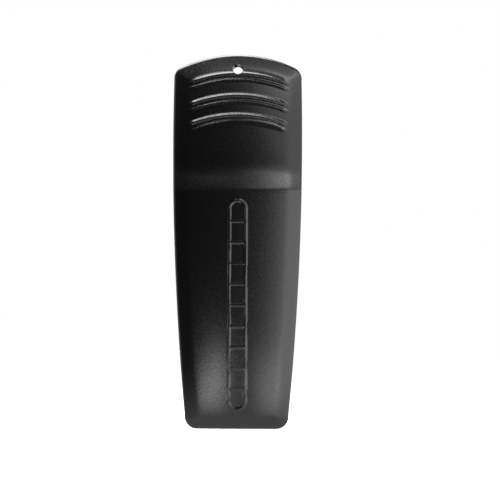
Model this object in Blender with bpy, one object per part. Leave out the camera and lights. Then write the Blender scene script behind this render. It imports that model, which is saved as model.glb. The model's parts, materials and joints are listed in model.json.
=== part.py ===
"""Spring belt clip of a portable radio.

A moulded lever turns on a headed steel pin in a moulded base plate. A torsion spring
between the two holds the lever's tongue shut. Two rails on the back of the base slide down
into a slot in the radio, where the catch of a riveted steel leaf locks them.

Frame: +X to the wearer's right when facing the lever, -Y out of the lever's face, +Z up.
The origin is on the base plate's rear face, midway between and along the two rails.
Sizes are in millimetres and heights are measured up from the lever's lower edge; point()
turns both into the frame's metres.
"""

import math

import bmesh
import bpy
from mathutils import Matrix, Vector

MM = 0.001

# Driving dimensions
CLIP_HEIGHT = 78.5
ORIGIN_HEIGHT = 54.0
HINGE_HEIGHT = 57.0
HINGE_Y = -6.2
CREASE_HEIGHT = 50.3

# Lever outline, seen from the front
WIDEST_HALF = 13.5
WIDEST_HEIGHT = 60.0
SIDE_ARC_RADIUS = 630.0
SHOULDER_HEIGHT = 73.0
ARCH_RADIUS = 27.5
TOP_CORNER_RADIUS = 2.5
TIP_CORNER_RADIUS = 2.6
LEAST_CORNER = 0.4
TIP_HALF = 10.92

# Lever section, seen from the side
TIP_FACE_Y = -6.2
CREASE_FACE_Y = -14.8
TONGUE_BOW = 0.7
SCOOP_DEPTH = 1.3
SCOOP_REACH = 3.2
HEAD_SLOPE = 0.04
HEAD_CURVE = 0.0114
CROWN = 1.7
LEVER_WALL = 2.4
RIM_WALL = 2.4
CHAMFER_WIDTH = 2.6
CHAMFER_SLOPE = 0.28
EDGE_ROUND = 0.4
INNER_ROUND = 0.15
TONGUE_RIM = 1.5
HEAD_RIM = 0.7
CHEEK_RISE = (36.0, 46.0)
CHEEK_FALL = (60.5, 69.0)
LIP_FALL = (0.9, 3.6)
LIP_REAR_Y = -0.3
CHEEK_REAR_Y = -2.3

# Thumb ribs and lanyard hole
RIB_HEIGHTS = (73.9, 69.5, 65.4)
RIB_HALF_LENGTH = 10.2
RIB_HALF_WIDTH = 1.05
RIB_RISE = 0.46
RIB_END_SHARE = 0.35
LANYARD_HEIGHT = 75.5
LANYARD_RADIUS = 1.1

# Inner face of the lever
TONGUE_RIB_X = 5.0
TONGUE_RIB = (0.6, 1.5, 47.0, 1.3)
LEG_GUIDE_OFFSET = 1.1
LEG_GUIDE = (0.4, 63.5, 70.5, 1.0)
LUG_INNER = 9.0
LUG_OUTER = 12.0
LUG_LOW = 45.2
LUG_HIGH = 48.4
LUG_SINK = 0.6

# Base plate
PLATE_HALF = 10.7
PLATE_LOW = 37.0
PLATE_HIGH = 70.5
PLATE_THICK = 2.2
PLATE_CORNER = 2.5
EAR_THICK = 2.2
EAR_RADIUS = 3.0
EAR_FOOT_HALF = 5.6
RAIL_NECK_INNER = 4.9
RAIL_NECK_OUTER = 6.6
RAIL_FLANGE_OUTER = 8.4
RAIL_NECK_Y = 1.5
RAIL_REAR_Y = 2.9
RAIL_HALF_LENGTH = 8.0
WINDOW_HALF = 3.9
WINDOW_LOW = 38.3
WINDOW_HIGH = 43.2
WINDOW_CORNER = 0.5
PLATE_GUIDE_OFFSET = 1.0
PLATE_GUIDE_HALF = 0.3
PLATE_GUIDE_LOW = 62.5
PLATE_GUIDE_HIGH = 69.6
PLATE_GUIDE_RISE = 0.6

# Hinge pin, ring, sleeve and spring
PIN_RADIUS = 1.0
PIN_RUNNING_GAP = 0.07
PIN_END = 13.2
HEAD_RADIUS = 1.75
HEAD_THICK = 0.6
POCKET_RADIUS = 2.05
POCKET_FLOOR = 12.45
RING_RADIUS = 1.85
RING_THICK = 0.4
SLEEVE_RADIUS = 1.8
WIRE = 0.9
COIL_RADIUS = 2.55
COIL_PITCH = 1.0
COIL_TURNS = 6.5
BASE_LEG_TOP = 68.5
LEVER_LEG_TOP = 68.0

# Latch leaf and rivets
LEAF_THICK = 0.3
LEAF_HALF = 3.5
LEAF_Y = -2.6
LEAF_TOP = 52.9
CATCH_Y = 0.6
RIVET_X = 2.2
RIVET_HEIGHT = 51.5
RIVET_SHANK = 0.6
RIVET_HEAD = 1.1
RIVET_POCKET = 1.3
RIVET_ROOM = 0.14
FIT_GAP = 0.06

COLOURS = {
    "lever_plastic": ((0.012, 0.012, 0.013), 0.42, 0.0),
    "base_plastic": ((0.016, 0.016, 0.017), 0.55, 0.0),
    "sleeve_plastic": ((0.55, 0.53, 0.47), 0.5, 0.0),
    "spring_steel": ((0.42, 0.42, 0.43), 0.3, 1.0),
    "pin_steel": ((0.5, 0.5, 0.5), 0.25, 1.0),
    "latch_steel": ((0.36, 0.36, 0.37), 0.35, 1.0),
}


def point(x, y, height):
    """A point of the frame, in metres, from millimetres and a height above the tip."""
    return Vector((x * MM, y * MM, (height - ORIGIN_HEIGHT) * MM))


def smooth_step(value, start, end):
    """0 before start, 1 after end, and an S curve between them."""
    t = min(1.0, max(0.0, (value - start) / (end - start)))
    return t * t * (3 - 2 * t)


def clear_scene():
    for old in list(bpy.data.objects):
        bpy.data.objects.remove(old)


def material(name):
    """The Principled BSDF of one finish, made once."""
    found = bpy.data.materials.get(name)
    if found:
        return found
    colour, roughness, metallic = COLOURS[name]
    made = bpy.data.materials.new(name)
    made.use_nodes = True
    shader = made.node_tree.nodes["Principled BSDF"]
    shader.inputs["Base Color"].default_value = (*colour, 1.0)
    shader.inputs["Roughness"].default_value = roughness
    shader.inputs["Metallic"].default_value = metallic
    return made


def to_object(mesh_edit, name, finish=None):
    """Turns a bmesh into a linked object with its faces pointing out."""
    mesh_edit.normal_update()
    bmesh.ops.recalc_face_normals(mesh_edit, faces=mesh_edit.faces[:])
    mesh = bpy.data.meshes.new(name)
    mesh_edit.to_mesh(mesh)
    mesh_edit.free()
    made = bpy.data.objects.new(name, mesh)
    bpy.context.scene.collection.objects.link(made)
    if finish:
        mesh.materials.append(material(finish))
    return made


def finish_round(made, angle=35):
    """Shades an object smooth, apart from its sharp edges."""
    made.data.shade_smooth()
    made.data.set_sharp_from_angle(angle=math.radians(angle))


def prism(name, outline, direction, start, end):
    """Extrudes a closed outline of (across, height) points.

    direction "x" takes the outline as (y, height) and runs from x = start to end;
    direction "y" takes it as (x, height) and runs from y = start to end.
    """
    mesh_edit = bmesh.new()
    rings = []
    for depth in (start, end):
        places = [
            point(depth, across, height) if direction == "x" else point(across, depth, height)
            for across, height in outline
        ]
        rings.append([mesh_edit.verts.new(place) for place in places])
    for ring in rings:
        mesh_edit.faces.new(ring)
    count = len(outline)
    for i in range(count):
        j = (i + 1) % count
        mesh_edit.faces.new((rings[0][i], rings[0][j], rings[1][j], rings[1][i]))
    return to_object(mesh_edit, name)


def rod(name, radius, start, end, axis, segments=24, tip_radius=None):
    """A cylinder, or a cone frustum, from start to end along a frame axis or a direction."""
    mesh_edit = bmesh.new()
    length = (end - start).length
    bmesh.ops.create_cone(
        mesh_edit,
        cap_ends=True,
        segments=segments,
        radius1=radius * MM,
        radius2=(radius if tip_radius is None else tip_radius) * MM,
        depth=length,
    )
    turn = axis.to_track_quat("Z", "Y").to_matrix().to_4x4()
    mesh_edit.transform(Matrix.Translation((start + end) / 2) @ turn)
    return to_object(mesh_edit, name)


def helper(made):
    """Marks an object as a tool for Booleans, which the model leaves out."""
    made.hide_render = True
    made.display_type = "WIRE"
    return made


def combine(target, tool, operation):
    """Adds a Boolean modifier that joins or cuts tool with target."""
    modifier = target.modifiers.new(f"{operation.lower()}_{tool.name}", "BOOLEAN")
    modifier.operation = operation
    modifier.solver = "EXACT"
    modifier.object = helper(tool)


# Lever shape ---------------------------------------------------------------------------


def side_half(height):
    """Half the lever's width between its corners: a long shallow arc."""
    return WIDEST_HALF - (height - WIDEST_HEIGHT) ** 2 / (2 * SIDE_ARC_RADIUS)


def face_y(height):
    """The lever's front profile: a bowed tongue, a crease, a thumb scoop, a head leaning back."""
    if height <= CREASE_HEIGHT:
        t = height / CREASE_HEIGHT
        chord = TIP_FACE_Y + (CREASE_FACE_Y - TIP_FACE_Y) * t
        return chord - 4 * TONGUE_BOW * t * (1 - t)
    above = height - CREASE_HEIGHT
    scoop = SCOOP_DEPTH * (1 - math.exp(-above / SCOOP_REACH))
    return CREASE_FACE_Y + scoop + HEAD_SLOPE * above + HEAD_CURVE * above**2 / 2


def rim_depth(x, height):
    """How far back the lever's rim reaches: lip, shallow tongue rim, cheeks, shallow head rim."""
    plain = face_y(height) + LEVER_WALL + (TONGUE_RIM if height < HINGE_HEIGHT else HEAD_RIM)
    lip_share = 1 - smooth_step(height, *LIP_FALL)
    cheek_share = smooth_step(height, *CHEEK_RISE) * (1 - smooth_step(height, *CHEEK_FALL))
    rim = plain + (CHEEK_REAR_Y - plain) * cheek_share
    return rim + (LIP_REAR_Y - rim) * lip_share


def corner_arcs(inset):
    """(x, height, radius) of the top and tip corner arcs of an outline moved in by inset."""
    top_radius = max(LEAST_CORNER, TOP_CORNER_RADIUS - inset)
    top_x = side_half(SHOULDER_HEIGHT) - inset - top_radius
    reach = ARCH_RADIUS - inset - top_radius
    top_height = CLIP_HEIGHT - ARCH_RADIUS + math.sqrt(reach**2 - top_x**2)
    tip_radius = max(LEAST_CORNER, TIP_CORNER_RADIUS - inset)
    tip = (TIP_HALF - inset - tip_radius, inset + tip_radius, tip_radius)
    return (top_x, top_height, top_radius), tip


def outline_half(inset, side_heights, across_steps, corner_steps):
    """The right half of the lever's outline, moved in by inset, as (x, height) points.

    It runs up from the middle of the tip, round the corner, up the side, round the top
    corner and along the arch to its middle.
    """
    (top_x, top_height, top_radius), (tip_x, tip_height, tip_radius) = corner_arcs(inset)
    arch_radius = ARCH_RADIUS - inset
    places = [(tip_x * i / across_steps, inset) for i in range(across_steps)]
    for i in range(corner_steps + 1):
        angle = math.radians(-90 + 86 * i / corner_steps)
        corner = (tip_x + tip_radius * math.cos(angle), tip_height + tip_radius * math.sin(angle))
        places.append(corner)
    places += [(side_half(height) - inset, height) for height in side_heights]
    arch_start = math.atan2(top_height - (CLIP_HEIGHT - ARCH_RADIUS), top_x)
    for i in range(corner_steps + 1):
        angle = arch_start * i / corner_steps
        corner = (top_x + top_radius * math.cos(angle), top_height + top_radius * math.sin(angle))
        places.append(corner)
    for i in range(1, across_steps + 1):
        angle = arch_start + (math.pi / 2 - arch_start) * i / across_steps
        arch_low = CLIP_HEIGHT - ARCH_RADIUS
        places.append((arch_radius * math.cos(angle), arch_low + arch_radius * math.sin(angle)))
    return places


SIDE_HEIGHTS = (
    [4.0 + 4.2 * i for i in range(9)]
    + [40.4, 43.0, 45.6, 48.0, CREASE_HEIGHT - 0.5, CREASE_HEIGHT, CREASE_HEIGHT + 0.9]
    + [52.6, 54.6, 57.0, 60.0, 62.5, 65.0, 67.5, 70.0, 72.2]
)
ACROSS_STEPS = 4
CORNER_STEPS = 4


def rim_loop(inset, depth_of):
    """One closed ring of frame points round the lever; depth_of gives y from x and height."""
    half = outline_half(inset, SIDE_HEIGHTS, ACROSS_STEPS, CORNER_STEPS)
    left = [(-x, height) for x, height in reversed(half[1:-1])]
    return [(x, depth_of(x, height), height) for x, height in half + left]


def front_depth(inset):
    """y of the lever's front face at a distance in from its outline."""
    chamfer = CHAMFER_SLOPE * max(0.0, CHAMFER_WIDTH - inset)
    rounding = 0.0
    if inset < EDGE_ROUND:
        rounding = EDGE_ROUND - math.sqrt(EDGE_ROUND**2 - (EDGE_ROUND - inset) ** 2)
    return lambda x, height: face_y(height) + CROWN * (x / WIDEST_HALF) ** 2 + chamfer + rounding


def back_depth(x, height):
    """y of the lever's inner face."""
    return face_y(height) + LEVER_WALL


def span_ring(mesh_edit, ring, depth_of):
    """Fills a closed ring with a grid whose first and last rows are the tip's and the arch's points."""
    count = len(ring)
    half = count // 2
    columns = 2 * ACROSS_STEPS
    rows = [[ring[i % count] for i in range(-ACROSS_STEPS, ACROSS_STEPS + 1)]]
    for i in range(ACROSS_STEPS + 1, half - ACROSS_STEPS):
        right, left = ring[i], ring[count - i]
        row = [left]
        for c in range(1, columns):
            x = (left.co.x + (right.co.x - left.co.x) * c / columns) / MM
            height = right.co.z / MM + ORIGIN_HEIGHT
            row.append(mesh_edit.verts.new(point(x, depth_of(x, height), height)))
        rows.append(row + [right])
    rows.append([ring[half + i] for i in range(ACROSS_STEPS, -ACROSS_STEPS - 1, -1)])
    for below, above in zip(rows, rows[1:]):
        for c in range(columns):
            mesh_edit.faces.new((below[c], below[c + 1], above[c + 1], above[c]))


def lever_shell():
    """The lever's closed shell: face, chamfered edge, rim and hollow back, in nested rings."""
    mesh_edit = bmesh.new()
    sections = [
        (CHAMFER_WIDTH, front_depth(CHAMFER_WIDTH)),
        (EDGE_ROUND, front_depth(EDGE_ROUND)),
        (INNER_ROUND, front_depth(INNER_ROUND)),
        (0.0, front_depth(0.0)),
        (0.0, rim_depth),
        (RIM_WALL, rim_depth),
        (RIM_WALL, back_depth),
    ]
    rings = []
    for inset, depth_of in sections:
        places = rim_loop(inset, depth_of)
        rings.append([mesh_edit.verts.new(point(*place)) for place in places])
    count = len(rings[0])
    for outer, inner in zip(rings, rings[1:]):
        for i in range(count):
            j = (i + 1) % count
            mesh_edit.faces.new((outer[i], outer[j], inner[j], inner[i]))
    span_ring(mesh_edit, rings[0], front_depth(CHAMFER_WIDTH))
    span_ring(mesh_edit, rings[-1], back_depth)
    return to_object(mesh_edit, "clip_lever", "lever_plastic")


def thumb_rib(index, rib_height):
    """One raised rib that repeats the arch's curve across the thumb face."""
    mesh_edit = bmesh.new()
    steps, sides = 12, 8
    reach = math.asin(RIB_HALF_LENGTH / ARCH_RADIUS)
    surface = front_depth(CHAMFER_WIDTH)
    rings = []
    for i in range(steps + 1):
        angle = -reach + 2 * reach * i / steps
        x = ARCH_RADIUS * math.sin(angle)
        middle = rib_height - ARCH_RADIUS * (1 - math.cos(angle))
        taper = RIB_END_SHARE if i in (0, steps) else 1.0
        ring = []
        for k in range(sides):
            turn = 2 * math.pi * k / sides
            height = middle + RIB_HALF_WIDTH * taper * math.cos(turn)
            depth = surface(x, height) - RIB_RISE * taper * math.sin(turn)
            ring.append(mesh_edit.verts.new(point(x, depth, height)))
        rings.append(ring)
    for first, second in zip(rings, rings[1:]):
        for k in range(sides):
            n = (k + 1) % sides
            mesh_edit.faces.new((first[k], first[n], second[n], second[k]))
    mesh_edit.faces.new(rings[0])
    mesh_edit.faces.new(rings[-1])
    return to_object(mesh_edit, f"tool_thumb_rib_{index}")


def back_strip(name, x, half_width, low, high, rise, steps=6):
    """A low rib on the lever's inner face that follows its profile."""
    sink = LEVER_WALL / 2
    heights = [low + (high - low) * i / steps for i in range(steps + 1)]
    front = [(face_y(height) + LEVER_WALL - sink, height) for height in heights]
    rear = [(face_y(height) + LEVER_WALL + rise, height) for height in reversed(heights)]
    return prism(name, front + rear, "x", x - half_width, x + half_width)


def stop_lug(side):
    """A lug inside a cheek that meets the base plate and stops the closed lever."""
    root = LEVER_WALL + LUG_SINK
    outline = [
        (face_y(LUG_LOW) + root, LUG_LOW),
        (CHEEK_REAR_Y - 0.5, LUG_LOW),
        (CHEEK_REAR_Y - 0.3, LUG_HIGH - 0.6),
        (CHEEK_REAR_Y - 1.2, LUG_HIGH),
        (face_y(LUG_HIGH) + root, LUG_HIGH),
    ]
    return prism(f"tool_stop_lug_{side}", outline, "x", side * LUG_INNER, side * LUG_OUTER)


def clip_lever():
    lever = lever_shell()
    for index, rib_height in enumerate(RIB_HEIGHTS):
        combine(lever, thumb_rib(index, rib_height), "UNION")
    for side in (-1, 1):
        strip = back_strip(f"tool_tongue_rib_{side}", side * TONGUE_RIB_X, *TONGUE_RIB)
        combine(lever, strip, "UNION")
    spring_x = COIL_PITCH * COIL_TURNS / 2
    for side in (-1, 1):
        guide_x = spring_x + side * LEG_GUIDE_OFFSET
        combine(lever, back_strip(f"tool_leg_guide_{side}", guide_x, *LEG_GUIDE, 3), "UNION")
        combine(lever, stop_lug(side), "UNION")
    lean = HEAD_SLOPE + HEAD_CURVE * (LANYARD_HEIGHT - CREASE_HEIGHT)
    axis = Vector((0, 1, -lean)).normalized()
    middle = point(0, face_y(LANYARD_HEIGHT) + LEVER_WALL / 2, LANYARD_HEIGHT)
    ends = (middle - axis * 4 * MM, middle + axis * 4 * MM)
    combine(lever, rod("tool_lanyard_hole", LANYARD_RADIUS, *ends, axis), "DIFFERENCE")
    across = Vector((1, 0, 0))
    bore = PIN_RADIUS + PIN_RUNNING_GAP
    ends = (point(-20, HINGE_Y, HINGE_HEIGHT), point(20, HINGE_Y, HINGE_HEIGHT))
    combine(lever, rod("tool_lever_bore", bore, *ends, across), "DIFFERENCE")
    for side in (-1, 1):
        start = point(side * POCKET_FLOOR, HINGE_Y, HINGE_HEIGHT)
        end = point(side * 20, HINGE_Y, HINGE_HEIGHT)
        pocket = rod(f"tool_pin_pocket_{side}", POCKET_RADIUS, start, end, across)
        combine(lever, pocket, "DIFFERENCE")
    finish_round(lever)


# Base plate ----------------------------------------------------------------------------


def rounded_box(half, low, high, radius, steps=5):
    """An (x, height) rectangle with round corners."""
    corners = (
        (half - radius, low + radius, -90),
        (half - radius, high - radius, 0),
        (radius - half, high - radius, 90),
        (radius - half, low + radius, 180),
    )
    outline = []
    for x, height, start in corners:
        for i in range(steps + 1):
            angle = math.radians(start + 90 * i / steps)
            outline.append((x + radius * math.cos(angle), height + radius * math.sin(angle)))
    return outline


def ear(side):
    """A hinge ear: a round lobe on the pin's line, widening into the plate."""
    outline = [(-1.2, HINGE_HEIGHT - EAR_FOOT_HALF), (-2.6, HINGE_HEIGHT - EAR_FOOT_HALF)]
    steps = 12
    for i in range(steps + 1):
        angle = math.radians(-70 - 220 * i / steps)
        y = HINGE_Y + EAR_RADIUS * math.cos(angle)
        outline.append((y, HINGE_HEIGHT + EAR_RADIUS * math.sin(angle)))
    outline += [(-2.6, HINGE_HEIGHT + EAR_FOOT_HALF), (-1.2, HINGE_HEIGHT + EAR_FOOT_HALF)]
    inner, outer = PLATE_HALF - EAR_THICK, PLATE_HALF - 0.02
    return prism(f"tool_ear_{side}", outline, "x", side * inner, side * outer)


def rail(side):
    """A slide rail: a neck off the plate and a flange that the radio's slot holds."""
    low, high = ORIGIN_HEIGHT - RAIL_HALF_LENGTH, ORIGIN_HEIGHT + RAIL_HALF_LENGTH
    neck_outline = [(-0.6, low), (RAIL_REAR_Y - 0.4, low), (RAIL_REAR_Y - 0.4, high), (-0.6, high)]
    neck = prism(
        f"tool_rail_neck_{side}", neck_outline, "x", side * RAIL_NECK_INNER, side * RAIL_NECK_OUTER
    )
    lead = 1.0
    flange_outline = [
        (RAIL_NECK_Y, low + lead),
        (RAIL_NECK_Y + 0.4, low + 0.2),
        (RAIL_REAR_Y - 0.5, low + 0.2),
        (RAIL_REAR_Y, low + lead),
        (RAIL_REAR_Y, high - 0.3),
        (RAIL_NECK_Y, high - 0.3),
    ]
    inner, outer = RAIL_NECK_INNER - 0.01, RAIL_FLANGE_OUTER
    return neck, prism(f"tool_rail_flange_{side}", flange_outline, "x", side * inner, side * outer)


def base_plate():
    outline = rounded_box(PLATE_HALF, PLATE_LOW, PLATE_HIGH, PLATE_CORNER)
    plate = prism("base_plate", outline, "y", -PLATE_THICK, 0.0)
    plate.data.materials.append(material("base_plastic"))
    for side in (-1, 1):
        combine(plate, ear(side), "UNION")
        for tool in rail(side):
            combine(plate, tool, "UNION")
    spring_x = -COIL_PITCH * COIL_TURNS / 2
    for side in (-1, 1):
        middle = spring_x + side * PLATE_GUIDE_OFFSET
        left, right = middle - PLATE_GUIDE_HALF, middle + PLATE_GUIDE_HALF
        low, high = PLATE_GUIDE_LOW, PLATE_GUIDE_HIGH
        guide_outline = [(left, low), (right, low), (right, high), (left, high)]
        front = -PLATE_THICK - PLATE_GUIDE_RISE
        guide = prism(f"tool_plate_guide_{side}", guide_outline, "y", front, -PLATE_THICK / 2)
        combine(plate, guide, "UNION")
    window = rounded_box(WINDOW_HALF, WINDOW_LOW, WINDOW_HIGH, WINDOW_CORNER, 2)
    combine(plate, prism("tool_window", window, "y", -5.0, 3.0), "DIFFERENCE")
    bore = PIN_RADIUS + FIT_GAP
    ends = (point(-20, HINGE_Y, HINGE_HEIGHT), point(20, HINGE_Y, HINGE_HEIGHT))
    combine(plate, rod("tool_base_bore", bore, *ends, Vector((1, 0, 0))), "DIFFERENCE")
    back = Vector((0, 1, 0))
    for side in (-1, 1):
        x = side * RIVET_X
        ends = (point(x, -5, RIVET_HEIGHT), point(x, 5, RIVET_HEIGHT))
        shank = rod(f"tool_rivet_bore_{side}", RIVET_SHANK + FIT_GAP, *ends, back, 12)
        combine(plate, shank, "DIFFERENCE")
        ends = (point(x, -0.8, RIVET_HEIGHT), point(x, 5, RIVET_HEIGHT))
        pocket = rod(f"tool_rivet_pocket_{side}", RIVET_POCKET, *ends, back, 16)
        combine(plate, pocket, "DIFFERENCE")
    finish_round(plate)


# Hinge ---------------------------------------------------------------------------------


def turned(name, finish, profile, segments=24):
    """A closed body turned about the hinge line from (x, radius) stations, ends included."""
    mesh_edit = bmesh.new()
    rings = []
    for x, radius in profile:
        ring = []
        for k in range(segments):
            angle = 2 * math.pi * k / segments
            y, height = radius * math.cos(angle), radius * math.sin(angle)
            ring.append(mesh_edit.verts.new(point(x, HINGE_Y + y, HINGE_HEIGHT + height)))
        rings.append(ring)
    for first, second in zip(rings, rings[1:]):
        for k in range(segments):
            n = (k + 1) % segments
            mesh_edit.faces.new((first[k], first[n], second[n], second[k]))
    mesh_edit.faces.new(rings[0])
    mesh_edit.faces.new(rings[-1])
    made = to_object(mesh_edit, name, finish)
    finish_round(made)
    return made


def hollow(name, finish, profile, segments=24):
    """A closed ring or tube turned about the hinge line from a loop of (x, radius) points."""
    mesh_edit = bmesh.new()
    count = len(profile)
    loops = []
    for k in range(segments):
        angle = 2 * math.pi * k / segments
        loop = [
            point(x, HINGE_Y + r * math.cos(angle), HINGE_HEIGHT + r * math.sin(angle))
            for x, r in profile
        ]
        loops.append([mesh_edit.verts.new(place) for place in loop])
    for k in range(segments):
        first, second = loops[k], loops[(k + 1) % segments]
        for i in range(count):
            j = (i + 1) % count
            mesh_edit.faces.new((first[i], first[j], second[j], second[i]))
    made = to_object(mesh_edit, name, finish)
    finish_round(made)
    return made


def hinge_pin():
    head_outer = -PIN_END
    head_inner = head_outer + HEAD_THICK
    profile = [
        (head_outer, HEAD_RADIUS - 0.25),
        (head_outer + 0.2, HEAD_RADIUS),
        (head_inner, HEAD_RADIUS),
        (head_inner, PIN_RADIUS),
        (PIN_END - 0.25, PIN_RADIUS),
        (PIN_END, PIN_RADIUS - 0.25),
    ]
    turned("hinge_pin", "pin_steel", profile)


def retaining_ring():
    inner = POCKET_FLOOR + 0.1
    outer = inner + RING_THICK
    bore = PIN_RADIUS + FIT_GAP
    hollow("retaining_ring", "spring_steel", [
        (inner, bore),
        (inner, RING_RADIUS - 0.15),
        (inner + 0.15, RING_RADIUS),
        (outer, RING_RADIUS),
        (outer, bore),
    ])


def spring_sleeve():
    reach = PLATE_HALF - EAR_THICK - 0.15
    bore = PIN_RADIUS + PIN_RUNNING_GAP
    hollow("spring_sleeve", "sleeve_plastic", [
        (-reach, bore),
        (-reach, SLEEVE_RADIUS - 0.2),
        (-reach + 0.2, SLEEVE_RADIUS),
        (reach - 0.2, SLEEVE_RADIUS),
        (reach, SLEEVE_RADIUS - 0.2),
        (reach, bore),
    ])


def torsion_spring():
    """The base leg comes down to the coil's rear, and the lever leg rises from its front."""
    steps_per_turn = 16
    steps = round(COIL_TURNS * steps_per_turn)
    half = COIL_PITCH * COIL_TURNS / 2
    base_leg_y = -PLATE_THICK - WIRE / 2 - 0.1
    lever_leg_y = face_y(LEVER_LEG_TOP) + LEVER_WALL + WIRE / 2 + 0.1
    places = [
        (-half, base_leg_y, BASE_LEG_TOP),
        (-half, base_leg_y - 0.25, BASE_LEG_TOP - 4.0),
    ]
    for i in range(steps + 1):
        turn = -2 * math.pi * i / steps_per_turn
        x = -half + 2 * half * i / steps
        y = HINGE_Y + COIL_RADIUS * math.cos(turn)
        places.append((x, y, HINGE_HEIGHT + COIL_RADIUS * math.sin(turn)))
    places += [
        (half, lever_leg_y - 0.45, LEVER_LEG_TOP - 4.0),
        (half, lever_leg_y, LEVER_LEG_TOP),
    ]
    curve = bpy.data.curves.new("torsion_spring", "CURVE")
    curve.dimensions = "3D"
    curve.bevel_depth = WIRE / 2 * MM
    curve.bevel_resolution = 1
    curve.use_fill_caps = True
    spline = curve.splines.new("POLY")
    spline.points.add(len(places) - 1)
    for spline_point, place in zip(spline.points, places):
        spline_point.co = (*point(*place), 1.0)
    made = bpy.data.objects.new("torsion_spring", curve)
    bpy.context.scene.collection.objects.link(made)
    curve.materials.append(material("spring_steel"))


# Latch ---------------------------------------------------------------------------------


def latch_leaf():
    """A bent strip: flat root, catch through the window, release tab under the plate."""
    bends = [
        (LEAF_Y, LEAF_TOP),
        (LEAF_Y, 42.4),
        (LEAF_Y + 0.25, 42.1),
        (CATCH_Y - 0.3, 41.9),
        (CATCH_Y, 41.5),
        (LEAF_Y + 0.2, 39.3),
        (LEAF_Y, 38.8),
        (LEAF_Y, 36.6),
        (LEAF_Y - 0.3, 35.9),
        (LEAF_Y - 2.2, 34.3),
    ]
    half = LEAF_THICK / 2
    near, far = [], []
    for i, (y, height) in enumerate(bends):
        before, after = bends[max(0, i - 1)], bends[min(len(bends) - 1, i + 1)]
        into = Vector((y - before[0], height - before[1]))
        out = Vector((after[0] - y, after[1] - height))
        into = into.normalized() if into.length else out.normalized()
        out = out.normalized() if out.length else into
        along = (into + out).normalized()
        across = Vector((-along.y, along.x)) * half / max(0.5, along.dot(out))
        near.append((y + across.x, height + across.y))
        far.append((y - across.x, height - across.y))
    leaf = prism("latch_leaf", near + far[::-1], "x", -LEAF_HALF, LEAF_HALF)
    leaf.data.materials.append(material("latch_steel"))
    for side in (-1, 1):
        x = side * RIVET_X
        ends = (point(x, -6, RIVET_HEIGHT), point(x, 1, RIVET_HEIGHT))
        hole = rod(f"tool_leaf_hole_{side}", RIVET_SHANK + 0.1, *ends, Vector((0, 1, 0)), 12)
        combine(leaf, hole, "DIFFERENCE")
    finish_round(leaf, 50)


def latch_rivet(name, x):
    """A rivet with a domed front head and a flat rear head sunk in the plate's pocket."""
    front_y = LEAF_Y - LEAF_THICK / 2 - RIVET_ROOM
    stations = [
        (front_y - 0.6, 0.35),
        (front_y - 0.48, 0.75),
        (front_y - 0.2, 1.02),
        (front_y, RIVET_HEAD),
        (front_y, RIVET_SHANK),
        (-0.74, RIVET_SHANK),
        (-0.74, RIVET_HEAD - 0.05),
        (-0.2, RIVET_HEAD - 0.2),
    ]
    mesh_edit = bmesh.new()
    segments = 16
    rings = []
    for y, radius in stations:
        ring = []
        for k in range(segments):
            angle = 2 * math.pi * k / segments
            across, up = radius * math.cos(angle), radius * math.sin(angle)
            ring.append(mesh_edit.verts.new(point(x + across, y, RIVET_HEIGHT + up)))
        rings.append(ring)
    for first, second in zip(rings, rings[1:]):
        for k in range(segments):
            n = (k + 1) % segments
            mesh_edit.faces.new((first[k], first[n], second[n], second[k]))
    mesh_edit.faces.new(rings[0])
    mesh_edit.faces.new(rings[-1])
    finish_round(to_object(mesh_edit, name, "latch_steel"))


def main():
    clear_scene()
    clip_lever()
    base_plate()
    hinge_pin()
    retaining_ring()
    spring_sleeve()
    torsion_spring()
    latch_leaf()
    latch_rivet("latch_rivet_left", -RIVET_X)
    latch_rivet("latch_rivet_right", RIVET_X)


main()
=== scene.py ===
"""Looks of a spring belt clip for a portable radio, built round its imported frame.

Every sub-assembly is a class. Its sizes are dataclass fields, its methods model its pieces
with Blender's own operators, and it dresses them in the finishes below. Lengths are in
metres, in the frame's axes: +X right, -Y out of the lever's face, +Z up. Heights named
"height" are measured up from the lever's lower edge.
"""

import json
import logging
import math
from dataclasses import dataclass, field
from enum import Enum
from typing import Callable, Sequence

import bpy
import numpy as np
from mathutils import Matrix, Vector

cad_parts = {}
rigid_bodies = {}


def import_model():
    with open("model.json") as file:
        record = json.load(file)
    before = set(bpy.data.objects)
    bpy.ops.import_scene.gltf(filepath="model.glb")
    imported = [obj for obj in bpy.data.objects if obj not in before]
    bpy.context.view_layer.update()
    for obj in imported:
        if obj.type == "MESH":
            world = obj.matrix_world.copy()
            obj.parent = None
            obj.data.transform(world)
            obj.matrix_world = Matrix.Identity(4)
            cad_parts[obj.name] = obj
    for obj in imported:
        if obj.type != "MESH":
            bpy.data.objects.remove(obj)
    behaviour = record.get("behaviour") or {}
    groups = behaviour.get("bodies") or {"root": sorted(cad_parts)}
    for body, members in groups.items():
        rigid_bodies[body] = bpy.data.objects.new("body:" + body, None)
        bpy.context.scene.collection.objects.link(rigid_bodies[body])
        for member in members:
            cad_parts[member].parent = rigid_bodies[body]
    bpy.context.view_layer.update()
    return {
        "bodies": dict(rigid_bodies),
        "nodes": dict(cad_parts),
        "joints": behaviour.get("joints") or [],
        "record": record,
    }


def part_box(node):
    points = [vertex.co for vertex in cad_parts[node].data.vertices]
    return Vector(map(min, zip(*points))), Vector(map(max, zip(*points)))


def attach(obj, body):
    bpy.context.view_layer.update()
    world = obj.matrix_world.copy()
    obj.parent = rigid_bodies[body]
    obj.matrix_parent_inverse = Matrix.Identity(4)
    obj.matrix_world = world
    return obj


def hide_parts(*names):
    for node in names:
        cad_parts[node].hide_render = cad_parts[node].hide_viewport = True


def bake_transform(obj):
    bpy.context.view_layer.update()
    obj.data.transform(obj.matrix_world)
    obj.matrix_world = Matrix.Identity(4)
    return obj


MM = 0.001
WEAR = "edge_wear"
RING = "ring_index"
ALONG_PIN = Vector((1, 0, 0))

log = logging.getLogger("belt_clip")

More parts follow.
